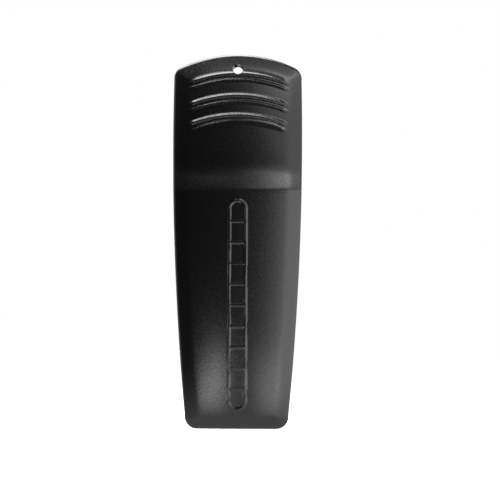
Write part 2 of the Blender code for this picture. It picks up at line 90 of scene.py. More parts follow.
Places = np.ndarray
DepthField = Callable[[np.ndarray, np.ndarray], np.ndarray]


class Side(Enum):
    """A side of the clip, facing the lever from the front."""

    LEFT = -1
    RIGHT = 1


class Join(Enum):
    """How one solid is combined with another."""

    ADD = "UNION"
    CUT = "DIFFERENCE"


# Small tools ---------------------------------------------------------------------------


def smooth_step(value: np.ndarray | float, start: float, end: float) -> np.ndarray:
    """An S curve from 0 at start to 1 at end."""
    t = np.clip((np.asarray(value, float) - start) / (end - start), 0.0, 1.0)
    return t * t * (3 - 2 * t)


def smooth_floor(value: np.ndarray, softness: float) -> np.ndarray:
    """The larger of value and 0, with the corner between them rounded."""
    return (value + np.sqrt(value * value + softness * softness)) / 2


def start_clean() -> None:
    """Leaves edit mode and deselects everything, so an operator acts on its own piece."""
    if bpy.context.mode != "OBJECT":
        bpy.ops.object.mode_set(mode="OBJECT")
    bpy.ops.object.select_all(action="DESELECT")


def pick(piece: bpy.types.Object) -> bpy.types.Object:
    """Makes a piece the only selected and active one.

    Args:
        piece: The object to work on.

    Returns:
        The same object.
    """
    start_clean()
    piece.select_set(True)
    bpy.context.view_layer.objects.active = piece
    return piece


def named(name: str) -> bpy.types.Object:
    """Names the piece that an operator has just added, with its place baked in its mesh.

    Args:
        name: The piece's name.

    Returns:
        The new object.
    """
    piece = bpy.context.active_object
    piece.name = name
    piece.data.name = name
    bpy.ops.object.transform_apply(location=True, rotation=True, scale=True)
    return piece


def points_of(piece: bpy.types.Object) -> Places:
    """The mesh points of a piece as rows of x, y, z."""
    flat = np.empty(len(piece.data.vertices) * 3)
    piece.data.vertices.foreach_get("co", flat)
    return flat.reshape(-1, 3)


def place_points(piece: bpy.types.Object, places: Places) -> None:
    """Moves a piece's mesh points to the given rows of x, y, z."""
    piece.data.vertices.foreach_set("co", np.ascontiguousarray(places, np.float32).ravel())
    piece.data.update()


def choose(piece: bpy.types.Object, kind: str, chosen: Callable[[object], bool]) -> None:
    """Selects in edit mode the faces, edges or vertices that a rule picks.

    Args:
        piece: The active object.
        kind: "FACE", "EDGE" or "VERT".
        chosen: Says of a mesh face, edge or vertex whether it is picked.
    """
    bpy.ops.object.mode_set(mode="EDIT")
    bpy.ops.mesh.select_mode(type=kind)
    bpy.ops.mesh.select_all(action="DESELECT")
    bpy.ops.object.mode_set(mode="OBJECT")
    parts = {
        "FACE": piece.data.polygons,
        "EDGE": piece.data.edges,
        "VERT": piece.data.vertices,
    }[kind]
    for part in parts:
        part.select = chosen(part)
    bpy.ops.object.mode_set(mode="EDIT")


def close_up(piece: bpy.types.Object, merge: float = 1e-6) -> None:
    """Merges a piece's doubled points and turns its faces outwards.

    Args:
        piece: The object to mend.
        merge: How near two points are to become one.
    """
    pick(piece)
    bpy.ops.object.mode_set(mode="EDIT")
    bpy.ops.mesh.select_mode(type="VERT")
    bpy.ops.mesh.select_all(action="SELECT")
    bpy.ops.mesh.remove_doubles(threshold=merge)
    bpy.ops.mesh.dissolve_degenerate(threshold=merge)
    bpy.ops.mesh.select_all(action="SELECT")
    bpy.ops.mesh.normals_make_consistent(inside=False)
    bpy.ops.object.mode_set(mode="OBJECT")


def apply(piece: bpy.types.Object, kind: str, **settings: object) -> None:
    """Adds a modifier with its settings and applies it at once.

    Args:
        piece: The object to change.
        kind: The modifier's type.
        **settings: The modifier's own properties.
    """
    pick(piece)
    modifier = piece.modifiers.new(kind.lower(), kind)
    for name, value in settings.items():
        setattr(modifier, name, value)
    bpy.ops.object.modifier_apply(modifier=modifier.name)


def combine(piece: bpy.types.Object, tools: Sequence[bpy.types.Object], how: Join) -> None:
    """Joins some tools with a piece, or cuts them from it, and removes the tools.

    Args:
        piece: The object to change.
        tools: The solids to add or to cut.
        how: Whether they are added or cut.
    """
    for tool in tools:
        apply(piece, "BOOLEAN", object=tool, operation=how.value, solver="EXACT")
        bpy.data.objects.remove(tool)


def bevel(
    piece: bpy.types.Object, width: float, segments: int, angle: float, **more: object
) -> None:
    """Rounds the edges of a piece that are sharper than an angle."""
    sizes = {"width": width, "segments": segments, "angle_limit": math.radians(angle)}
    apply(piece, "BEVEL", limit_method="ANGLE", **sizes, **more)


def shade(piece: bpy.types.Object, angle: float = 32) -> None:
    """Shades a piece smooth, apart from edges sharper than an angle in degrees."""
    pick(piece)
    bpy.ops.object.shade_smooth_by_angle(angle=math.radians(angle))


def block(name: str, low: Sequence[float], high: Sequence[float]) -> bpy.types.Object:
    """A box between two corners.

    Args:
        name: The piece's name.
        low: The corner with the lowest x, y and z.
        high: The corner with the highest.

    Returns:
        The new object.
    """
    start_clean()
    middle = [(a + b) / 2 for a, b in zip(low, high)]
    bpy.ops.mesh.primitive_cube_add(size=1, location=middle)
    bpy.context.active_object.scale = [b - a for a, b in zip(low, high)]
    return named(name)


def barrel(
    name: str, radius: float, start: Vector, end: Vector, vertices: int = 48
) -> bpy.types.Object:
    """A cylinder between two points.

    Args:
        name: The piece's name.
        radius: Its radius.
        start: The middle of one end.
        end: The middle of the other.
        vertices: How many sides it has.

    Returns:
        The new object.
    """
    start_clean()
    along = end - start
    bpy.ops.mesh.primitive_cylinder_add(
        vertices=vertices,
        radius=radius,
        depth=along.length,
        location=(start + end) / 2,
        rotation=along.to_track_quat("Z", "Y").to_euler(),
    )
    return named(name)


def turned(
    name: str,
    profile: Sequence[tuple[float, float]],
    origin: Vector,
    axis: Vector,
    steps: int = 48,
) -> bpy.types.Object:
    """A piece spun from a closed outline about an axis, as on a lathe.

    Args:
        name: The piece's name.
        profile: Points as (distance along the axis, radius).
        origin: A point on the axis, from which the distances run.
        axis: The axis's direction.
        steps: How many faces go round.

    Returns:
        The new object.
    """
    start_clean()
    bpy.ops.mesh.primitive_circle_add(vertices=len(profile), radius=1, fill_type="NOTHING")
    piece = named(name)
    along = axis.normalized()
    out = along.orthogonal().normalized()
    place_points(piece, np.array([origin + along * d + out * r for d, r in profile]))
    count = len(profile)
    on_axis = {i for i, (_, radius) in enumerate(profile) if radius < 1e-7}
    core = {frozenset((i, (i + 1) % count)) for i in range(count)}
    core = {pair for pair in core if pair <= on_axis}
    if core:
        choose(piece, "EDGE", lambda edge: frozenset(edge.vertices) in core)
        bpy.ops.mesh.delete(type="EDGE")
    bpy.ops.object.mode_set(mode="EDIT")
    bpy.ops.mesh.select_all(action="SELECT")
    bpy.ops.mesh.spin(steps=steps, angle=2 * math.pi, center=origin, axis=along)
    close_up(piece)
    return piece


def arc(
    centre: tuple[float, float], radius: float, start: float, end: float, steps: int
) -> list[tuple[float, float]]:
    """Points along a circular arc."""
    angles = [math.radians(start + (end - start) * i / steps) for i in range(steps + 1)]
    return [(centre[0] + radius * math.cos(a), centre[1] + radius * math.sin(a)) for a in angles]


def rounding(radius: float, degrees: float) -> tuple[float, float]:
    """How far a rounded edge is from its corner, across and back, at an angle of its turn."""
    turn = math.radians(degrees)
    return radius * (1 - math.cos(turn)), radius * (1 - math.sin(turn))


def mark_wear(piece: bpy.types.Object, amount: np.ndarray) -> None:
    """Stores on each point how much handling has polished it, from 0 to 1."""
    layer = piece.data.attributes.new(WEAR, "FLOAT", "POINT")
    layer.data.foreach_set("value", np.clip(amount, 0, 1).astype(np.float32))


def mark_edges(piece: bpy.types.Object, reach: float) -> None:
    """Stores wear on the points that lie near a piece's outer corners.

    A point is worn where its box of three distances to the piece's bounds has two short
    ones, which is where fingers and neighbours rub a moulded or stamped part.

    Args:
        piece: The object to mark.
        reach: How far from the edge wear fades out.
    """
    places = points_of(piece)
    low, high = places.min(0), places.max(0)
    gaps = np.sort(np.minimum(places - low, high - places), axis=1)
    mark_wear(piece, 1 - gaps[:, 1] / reach)


# Finishes ------------------------------------------------------------------------------


class Nodes:
    """A node tree being filled from left to right."""

    def __init__(self, tree: bpy.types.NodeTree) -> None:
        """Starts on an empty tree."""
        self.tree = tree
        tree.nodes.clear()

    def add(self, kind: str, settings: dict | None = None, **inputs: object) -> bpy.types.Node:
        """Adds a node, with its properties set and its sockets set or linked.

        Args:
            kind: The node's type name.
            settings: The node's own properties.
            **inputs: Socket values or output sockets, by name with _ for a space.

        Returns:
            The new node.
        """
        node = self.tree.nodes.new(kind)
        node.location = (180 * len(self.tree.nodes), 0)
        for name, value in (settings or {}).items():
            setattr(node, name, value)
        for name, value in inputs.items():
            socket = self.socket(node, name.replace("_", " "))
            if isinstance(value, bpy.types.NodeSocket):
                self.tree.links.new(value, socket)
            else:
                socket.default_value = value
        return node

    @staticmethod
    def socket(node: bpy.types.Node, name: str) -> bpy.types.NodeSocket:
        """A node's input by its name, or by its place where names repeat.

        Args:
            node: The node.
            name: The input's name, or "in 0", "in 1" and so on.

        Returns:
            The socket.
        """
        if name.startswith("in "):
            return [s for s in node.inputs if s.enabled][int(name[3:])]
        return next(s for s in node.inputs if s.enabled and s.name.lower() == name.lower())

    def math(self, how: str, first: object, second: object) -> bpy.types.NodeSocket:
        """A Math node's result for two values or sockets."""
        return self.add("ShaderNodeMath", {"operation": how}, in_0=first, in_1=second).outputs[0]

    def times(self, first: object, second: object) -> bpy.types.NodeSocket:
        """The product of two values or sockets."""
        return self.math("MULTIPLY", first, second)

    def mixed(
        self, share: object, first: bpy.types.Node, second: bpy.types.Node
    ) -> bpy.types.Node:
        """A Mix Shader node between two shaders' nodes."""
        shaders = {"in_1": first.outputs[0], "in_2": second.outputs[0]}
        return self.add("ShaderNodeMixShader", in_0=share, **shaders)

    def ease(
        self, value: object, low: float, high: float, to_low: float, to_high: float
    ) -> bpy.types.NodeSocket:
        """A value taken from one range to another, with soft ends."""
        node = self.add(
            "ShaderNodeMapRange",
            {"interpolation_type": "SMOOTHSTEP"},
            Value=value,
            From_Min=low,
            From_Max=high,
            To_Min=to_low,
            To_Max=to_high,
        )
        return node.outputs["Result"]

    def tint(self, share: object, first: object, second: object) -> bpy.types.NodeSocket:
        """A colour between two, by share."""
        node = self.add("ShaderNodeMix", {"data_type": "RGBA"}, Factor=share, A=first, B=second)
        return next(s for s in node.outputs if s.enabled)

    def noise(self, vector: object, scale: object, detail: float = 2.0) -> bpy.types.NodeSocket:
        """Noise from 0 to 1 at so many cells a metre."""
        kind, inputs = "ShaderNodeTexNoise", {"Scale": scale, "Detail": detail, "Roughness": 0.55}
        return self.add(kind, Vector=vector, **inputs).outputs[0]

    def shared(self, tree: bpy.types.NodeTree, **inputs: object) -> bpy.types.NodeOutputs:
        """The outputs of a shared group, with its inputs set or linked."""
        return self.add("ShaderNodeGroup", {"node_tree": tree}, **inputs).outputs


def group(
    name: str, inputs: dict[str, float], outputs: Sequence[str]
) -> tuple[Nodes, bpy.types.NodeOutputs, bpy.types.Node]:
    """An empty shader group with a Vector input and named numbers.

    Args:
        name: The group's name.
        inputs: Its number inputs and their usual values.
        outputs: Its number outputs.

    Returns:
        Its nodes, the sockets that its inputs come from, and its output node.
    """
    tree = bpy.data.node_groups.new(name, "ShaderNodeTree")
    tree.interface.new_socket("Vector", in_out="INPUT", socket_type="NodeSocketVector")
    for label, value in inputs.items():
        socket = tree.interface.new_socket(label, in_out="INPUT", socket_type="NodeSocketFloat")
        socket.default_value = value
    for label in outputs:
        tree.interface.new_socket(label, in_out="OUTPUT", socket_type="NodeSocketFloat")
    nodes = Nodes(tree)
    return nodes, nodes.add("NodeGroupInput").outputs, nodes.add("NodeGroupOutput")


def finish_group(nodes: Nodes, end: bpy.types.Node, **results: object) -> bpy.types.NodeTree:
    """Links a group's results to its output node and returns the group."""
    for label, result in results.items():
        nodes.tree.links.new(result, end.inputs[label])
    return nodes.tree


@dataclass
class Effects:
    """The shader groups that more than one finish uses, built once."""

    spark_grain: bpy.types.NodeTree = field(init=False)
    handling: bpy.types.NodeTree = field(init=False)
    drawn_lines: bpy.types.NodeTree = field(init=False)

    def __post_init__(self) -> None:
        """Builds every group."""
        self.spark_grain = self.build_spark_grain()
        self.handling = self.build_handling()
        self.drawn_lines = self.build_drawn_lines()

    @staticmethod
    def build_spark_grain() -> bpy.types.NodeTree:
        """The pitted texture that a spark-eroded mould leaves.

        Returns:
            A group that puts out the grain's Height and a patchy Fleck.
        """
        nodes, given, end = group("spark grain", {"Pitch": 3600.0}, ["Height", "Fleck"])
        vector, pitch = given["Vector"], given["Pitch"]
        coarse = nodes.noise(vector, pitch, 1.0)
        fine = nodes.times(nodes.noise(vector, nodes.times(pitch, 2.3)), 0.5)
        pits = nodes.add("ShaderNodeTexVoronoi", Vector=vector, Scale=nodes.times(pitch, 0.8))
        pitted = nodes.times(pits.outputs["Distance"], 0.5)
        height = nodes.math("ADD", nodes.math("ADD", coarse, fine), pitted)
        patches = nodes.noise(vector, nodes.times(pitch, 0.4), 3.0)
        fleck = nodes.ease(patches, 0.35, 0.7, 0.0, 1.0)
        return finish_group(nodes, end, Height=height, Fleck=fleck)

    @staticmethod
    def build_handling() -> bpy.types.NodeTree:
        """Polish on rubbed edges, and the film of dust and finger marks between them.

        Returns:
            A group that puts out Polish and Film, each from 0 to 1.
        """
        nodes, given, end = group("handling", {"Wear": 0.0}, ["Polish", "Film"])
        vector = given["Vector"]
        broken = nodes.ease(nodes.noise(vector, 900.0, 3.0), 0.3, 0.65, 0.35, 1.0)
        smudge = nodes.ease(nodes.noise(vector, 95.0, 4.0), 0.42, 0.72, 0.0, 1.0)
        specks = nodes.ease(nodes.noise(vector, 2600.0, 1.0), 0.66, 0.78, 0.0, 1.0)
        film = nodes.math("MAXIMUM", nodes.times(smudge, 0.7), specks)
        return finish_group(nodes, end, Polish=nodes.times(given["Wear"], broken), Film=film)

    @staticmethod
    def build_drawn_lines() -> bpy.types.NodeTree:
        """Fine lines along X or round a wire, as drawing and turning leave on steel.

        Returns:
            A group that puts out the lines' Height and a cloudy Stain.
        """
        nodes, given, end = group("drawn lines", {"Pitch": 9000.0}, ["Height", "Stain"])
        vector = given["Vector"]
        stretch = nodes.add("ShaderNodeVectorMath", {"operation": "MULTIPLY"}, in_0=vector)
        stretch.inputs[1].default_value = (0.06, 1.0, 1.0)
        lines = nodes.noise(stretch.outputs[0], given["Pitch"])
        stain = nodes.ease(nodes.noise(vector, 420.0, 4.0), 0.4, 0.75, 0.0, 1.0)
        return finish_group(nodes, end, Height=lines, Stain=stain)


@dataclass(frozen=True)
class Finish:
    """What every finish has: its name and the record's slot that it stands for."""

    name: str
    slot: str
    colour: tuple[float, float, float]
    roughness: float

    def start(
        self, effects: Effects
    ) -> tuple[bpy.types.Material, Nodes, bpy.types.NodeSocket, bpy.types.NodeOutputs]:
        """Starts the finish's material.

        Args:
            effects: The shared shader groups.

        Returns:
            The material, its nodes, the place shaded and the marks of handling there.
        """
        made = bpy.data.materials.new(self.name)
        made.use_nodes = True
        nodes = Nodes(made.node_tree)
        place = nodes.add("ShaderNodeTexCoord").outputs["Object"]
        worn = nodes.add("ShaderNodeAttribute", {"attribute_name": WEAR}).outputs["Fac"]
        return made, nodes, place, nodes.shared(effects.handling, Vector=place, Wear=worn)


@dataclass(frozen=True)
class MouldedPlastic(Finish):
    """An injection-moulded plastic with a spark-eroded grain."""

    rubbed: tuple[float, float, float]
    polished: float
    grain_pitch: float
    grain_depth: float

    def material(self, effects: Effects) -> bpy.types.Material:
        """Builds the finish.

        Args:
            effects: The shared shader groups.

        Returns:
            The material.
        """
        made, nodes, place, touch = self.start(effects)
        grain = nodes.shared(effects.spark_grain, Vector=place, Pitch=self.grain_pitch)
        rubbing = nodes.times(touch["Polish"], 0.8)
        colour = nodes.tint(rubbing, (*self.colour, 1), (*self.rubbed, 1))
        dusty = tuple(c * 1.4 + 0.002 for c in self.colour)
        colour = nodes.tint(nodes.times(touch["Film"], 0.35), colour, (*dusty, 1))
        least, most = self.roughness - 0.015, self.roughness + 0.02
        rough = nodes.ease(grain["Fleck"], 0.0, 1.0, least, most)
        rough = nodes.math("SUBTRACT", rough, nodes.times(touch["Film"], 0.015))
        gain = nodes.times(touch["Polish"], self.roughness - self.polished)
        rough = nodes.math("SUBTRACT", rough, gain)
        relief = {"Distance": self.grain_depth, "Height": grain["Height"]}
        bump = nodes.add("ShaderNodeBump", Strength=1.0, **relief).outputs[0]
        look = {"Base_Color": colour, "Roughness": rough, "Normal": bump}
        shader = nodes.add("ShaderNodeBsdfPrincipled", **look).outputs[0]
        nodes.add("ShaderNodeOutputMaterial", Surface=shader)
        return made


@dataclass(frozen=True)
class WorkedSteel(Finish):
    """A drawn, turned or stamped steel."""

    stained: tuple[float, float, float]
    line_pitch: float
    line_depth: float

    def material(self, effects: Effects) -> bpy.types.Material:
        """Builds the finish.

        Args:
            effects: The shared shader groups.

        Returns:
            The material.
        """
        made, nodes, place, touch = self.start(effects)
        lines = nodes.shared(effects.drawn_lines, Vector=place, Pitch=self.line_pitch)
        clouding = nodes.times(lines["Stain"], 0.6)
        colour = nodes.tint(clouding, (*self.colour, 1), (*self.stained, 1))
        colour = nodes.tint(nodes.times(touch["Polish"], 0.4), colour, (0.7, 0.7, 0.69, 1))
        least, most = self.roughness - 0.06, self.roughness + 0.08
        rough = nodes.ease(lines["Height"], 0.3, 0.7, least, most)
        rough = nodes.math("ADD", rough, nodes.times(lines["Stain"], 0.1))
        relief = {"Distance": self.line_depth, "Height": lines["Height"]}
        bump = nodes.add("ShaderNodeBump", Strength=1.0, **relief).outputs[0]
        look = {"Base_Color": colour, "Metallic": 1.0, "Roughness": rough, "Normal": bump}
        shader = nodes.add("ShaderNodeBsdfPrincipled", **look).outputs[0]
        nodes.add("ShaderNodeOutputMaterial", Surface=shader)
        return made


LEVER_BLACK = MouldedPlastic(
    name="lever_black_plastic",
    slot="lever_plastic",
    colour=(0.003, 0.003, 0.0031),
    rubbed=(0.014, 0.014, 0.014),
    roughness=0.28,
    polished=0.22,
    grain_pitch=4600.0,
    grain_depth=0.000007,
)
BASE_BLACK = MouldedPlastic(
    name="base_black_plastic",
    slot="base_plastic",
    colour=(0.011, 0.011, 0.0112),
    rubbed=(0.03, 0.03, 0.03),
    roughness=0.5,
    polished=0.34,
    grain_pitch=2600.0,
    grain_depth=0.00002,
)
SLEEVE_NATURAL = MouldedPlastic(
    name="sleeve_natural_plastic",
    slot="sleeve_plastic",
    colour=(0.5, 0.47, 0.4),
    rubbed=(0.58, 0.55, 0.48),
    roughness=0.42,
    polished=0.3,
    grain_pitch=5200.0,
    grain_depth=0.000008,
)
SPRING_STEEL = WorkedSteel(
    name="oiled_spring_steel",
    slot="spring_steel",
    colour=(0.36, 0.36, 0.37),
    stained=(0.2, 0.17, 0.14),
    roughness=0.3,
    line_pitch=12000.0,
    line_depth=0.000006,
)
PIN_STEEL = WorkedSteel(
    name="bright_pin_steel",
    slot="pin_steel",
    colour=(0.56, 0.56, 0.57),
    stained=(0.42, 0.4, 0.38),
    roughness=0.24,
    line_pitch=14000.0,
    line_depth=0.000004,
)
LATCH_STEEL = WorkedSteel(
    name="satin_latch_steel",
    slot="latch_steel",
    colour=(0.46, 0.46, 0.47),
    stained=(0.34, 0.33, 0.32),
    roughness=0.34,
    line_pitch=9000.0,
    line_depth=0.000006,
)


@dataclass
class Wardrobe:
    """Makes each finish's material once and puts it on pieces."""

    effects: Effects
    made: dict[str, bpy.types.Material] = field(default_factory=dict)

    def dress(self, piece: bpy.types.Object, finish: MouldedPlastic | WorkedSteel) -> None:
        """Gives a piece a finish.

        Args:
            piece: The object to dress.
            finish: The finish to give it.
        """
        if finish.name not in self.made:
            self.made[finish.name] = finish.material(self.effects)
        piece.data.materials.clear()
        piece.data.materials.append(self.made[finish.name])


# The clip's places ---------------------------------------------------------------------


@dataclass(frozen=True)
class Datum:
    """The places that every sub-assembly shares, read from the frame."""

    tip: float
    hinge_y: float
    hinge_z: float
    latch_y: float
    latch_z: float

    @classmethod
    def from_frame(cls, frame: dict) -> "Datum":
        """Reads the lever's lower edge and both joints.


        Returns:
            The shared places.
        """
        pivots = {joint["name"]: joint["pos_m"] for joint in frame["joints"]}
        _, hinge_y, hinge_z = pivots["lever_hinge"]
        _, latch_y, latch_z = pivots["latch_flex"]
        return cls(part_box("clip_lever")[0].z, hinge_y, hinge_z, latch_y, latch_z)

    def z(self, height: float) -> float:
        """The frame's z of a height above the lever's lower edge."""
        return self.tip + height

    def hinge(self, x: float) -> Vector:
        """A point on the hinge line."""
        return Vector((x, self.hinge_y, self.hinge_z))


# The lever -----------------------------------------------------------------------------


@dataclass
class LeverOutline:
    """The lever seen from the front: shallow side arcs, an arched top and round corners."""

    height: float = 78.5 * MM
    widest_half: float = 13.5 * MM
    widest_height: float = 60.0 * MM
    side_radius: float = 630.0 * MM
    arch_radius: float = 27.5 * MM
    shoulder_height: float = 73.0 * MM
    top_corner: float = 2.5 * MM
    tip_corner: float = 2.6 * MM
    tip_half: float = 10.92 * MM
    least_corner: float = 0.4 * MM
    corner_steps: int = 9
    columns_middle: int = 20
    columns_outer: int = 22
    middle_half_share: float = 0.24
    row_spans: tuple[tuple[float, float, float], ...] = (
        (3.6, 47.6, 0.21),
        (47.6, 49.4, 0.12),
        (49.4, 51.8, 0.08),
        (51.8, 55.0, 0.16),
        (55.0, 63.0, 0.34),
        (63.0, 72.6, 0.13),
    )

    def side_half(self, height: np.ndarray | float) -> np.ndarray | float:
        """Half the lever's width at a height."""
        return self.widest_half - (height - self.widest_height) ** 2 / (2 * self.side_radius)

    def arch_low(self) -> float:
        """Height of the arch's centre."""
        return self.height - self.arch_radius

    def corners(self, inset: float) -> tuple[tuple[float, ...], tuple[float, ...]]:
        """The corner arcs of the outline moved in by an inset.

        Args:
            inset: How far in from the outline.

        Returns:
            (x, height, radius) of the top corner and of the tip corner.
        """
        top_radius = max(self.least_corner, self.top_corner - inset)
        top_x = self.side_half(self.shoulder_height) - inset - top_radius
        reach = self.arch_radius - inset - top_radius
        top_height = self.arch_low() + math.sqrt(reach**2 - top_x**2)
        tip_radius = max(self.least_corner, self.tip_corner - inset)
        tip_x = self.tip_half - inset - tip_radius
        return (top_x, top_height, top_radius), (tip_x, inset + tip_radius, tip_radius)

    def column_shares(self) -> np.ndarray:
        """Places of the columns across half the width, from 0 to 1, closest in the middle."""
        middle = np.linspace(0, self.middle_half_share, self.columns_middle + 1)
        outer = np.linspace(0, 1, self.columns_outer + 1)[1:]
        outer = 0.45 * outer + 0.55 * outer**1.5
        rest = 1 - self.middle_half_share
        return np.concatenate([middle, self.middle_half_share + rest * outer])

    def side_heights(self) -> np.ndarray:
        """Heights of the rows between the corners, closest where there is detail."""
        rows = [np.arange(low, high - step / 2, step) for low, high, step in self.row_spans]
        return np.concatenate(rows) * MM

    def half_ring(self, inset: float) -> np.ndarray:
        """The right half of the outline, moved in, from the tip's middle to the arch's.

        Args:
            inset: How far in from the outline.

        Returns:
            Rows of x and height, the same number for every inset.
        """
        (top_x, top_height, top_radius), (tip_x, tip_height, tip_radius) = self.corners(inset)
        shares = self.column_shares()
        tip_row = [(share * tip_x, inset) for share in shares[:-1]]
        tip_corner = arc((tip_x, tip_height), tip_radius, -90, -4, self.corner_steps)
        heights = self.side_heights()
        side = list(zip(self.side_half(heights) - inset, heights))
        turn = math.degrees(math.atan2(top_height - self.arch_low(), top_x))
        top_corner = arc((top_x, top_height), top_radius, 0, turn, self.corner_steps)
        arch_x = shares[-2::-1] * top_corner[-1][0]
        arch_height = self.arch_low() + np.sqrt((self.arch_radius - inset) ** 2 - arch_x**2)
        arch = list(zip(arch_x, arch_height))
        return np.array(tip_row + tip_corner + side + top_corner + arch)

    def full_ring(self, inset: float) -> np.ndarray:
        """The whole outline, moved in, counter-clockwise from the tip's middle."""
        half = self.half_ring(inset)
        left = half[-2:0:-1] * np.array([-1, 1])
        return np.concatenate([half, left])

    def edge_gap(self, x: np.ndarray, height: np.ndarray) -> np.ndarray:
        """How far points inside the outline are from it.

        Args:
            x: The points' x.
            height: The points' heights.

        Returns:
            The distances.
        """
        across = np.abs(x)
        (top_x, top_height, top_radius), (tip_x, tip_height, tip_radius) = self.corners(0.0)
        arch = self.arch_radius - np.hypot(across, np.maximum(height - self.arch_low(), 0))
        gap = np.minimum(np.minimum(self.side_half(height) - across, arch), height)
        turn = math.atan2(top_height - self.arch_low(), top_x)
        angle = np.arctan2(height - top_height, across - top_x)
        in_top = (angle > 0) & (angle < turn) & (across > top_x)
        gap = np.where(in_top, top_radius - np.hypot(across - top_x, height - top_height), gap)
        in_tip = (across > tip_x) & (height < tip_height)
        return np.where(in_tip, tip_radius - np.hypot(across - tip_x, height - tip_height), gap)


@dataclass
class LeverSection:
    """The lever seen from the side: bowed tongue, crease, thumb scoop, head leaning back."""

    tip_face: float = -6.2 * MM
    crease_face: float = -14.8 * MM
    crease_height: float = 50.3 * MM
    tongue_bow: float = 0.7 * MM
    scoop_slope: float = 0.38
    scoop_even: float = 2.2 * MM
    scoop_end: float = 6.0 * MM
    head_slope: float = 0.04
    head_curve: float = 11.4
    crease_round: float = 0.16 * MM
    rim_rise: float = 1.5 * MM
    head_rim_rise: float = 0.7 * MM
    head_rim_from: float = 57.0 * MM
    cheek_grows: tuple[float, float] = (36.0 * MM, 46.0 * MM)
    cheek_ends: tuple[float, float] = (60.5 * MM, 69.0 * MM)
    lip_ends: tuple[float, float] = (0.9 * MM, 3.6 * MM)

    def face(self, height: np.ndarray | float) -> np.ndarray:
        """y of the face's middle line at a height."""
        height = np.asarray(height, float)
        t = height / self.crease_height
        tongue = self.tip_face + (self.crease_face - self.tip_face) * t
        tongue = tongue - 4 * self.tongue_bow * t * (1 - t)
        above = np.maximum(height - self.crease_height, -2 * MM)
        span = self.scoop_end - self.scoop_even
        t = np.clip((above - self.scoop_even) / span, 0, 1)
        scoop = np.minimum(above, self.scoop_even) + span * (t - t**3 + t**4 / 2)
        head = self.crease_face + self.scoop_slope * scoop + self.head_slope * above
        head = head + self.head_curve * above**2 / 2
        return head + smooth_floor(tongue - head, self.crease_round)

    def rim(
        self, height: np.ndarray, cheek_rear: float, lip_rear: float, wall: float
    ) -> np.ndarray:
        """y of the rim's rear edge at a height.

        Args:
            height: The heights.
            cheek_rear: y of the cheeks' rear edge.
            lip_rear: y of the tip lip's rear edge.
            wall: The thickness of the lever's face.

        Returns:
            The rim's y.
        """
        rise = np.where(height < self.head_rim_from, self.rim_rise, self.head_rim_rise)
        plain = self.face(height) + wall + rise
        grown, ended = (smooth_step(height, *s) for s in (self.cheek_grows, self.cheek_ends))
        cheek = grown * (1 - ended)
        rim = plain + (cheek_rear - plain) * cheek
        return rim + (lip_rear - rim) * (1 - smooth_step(height, *self.lip_ends))


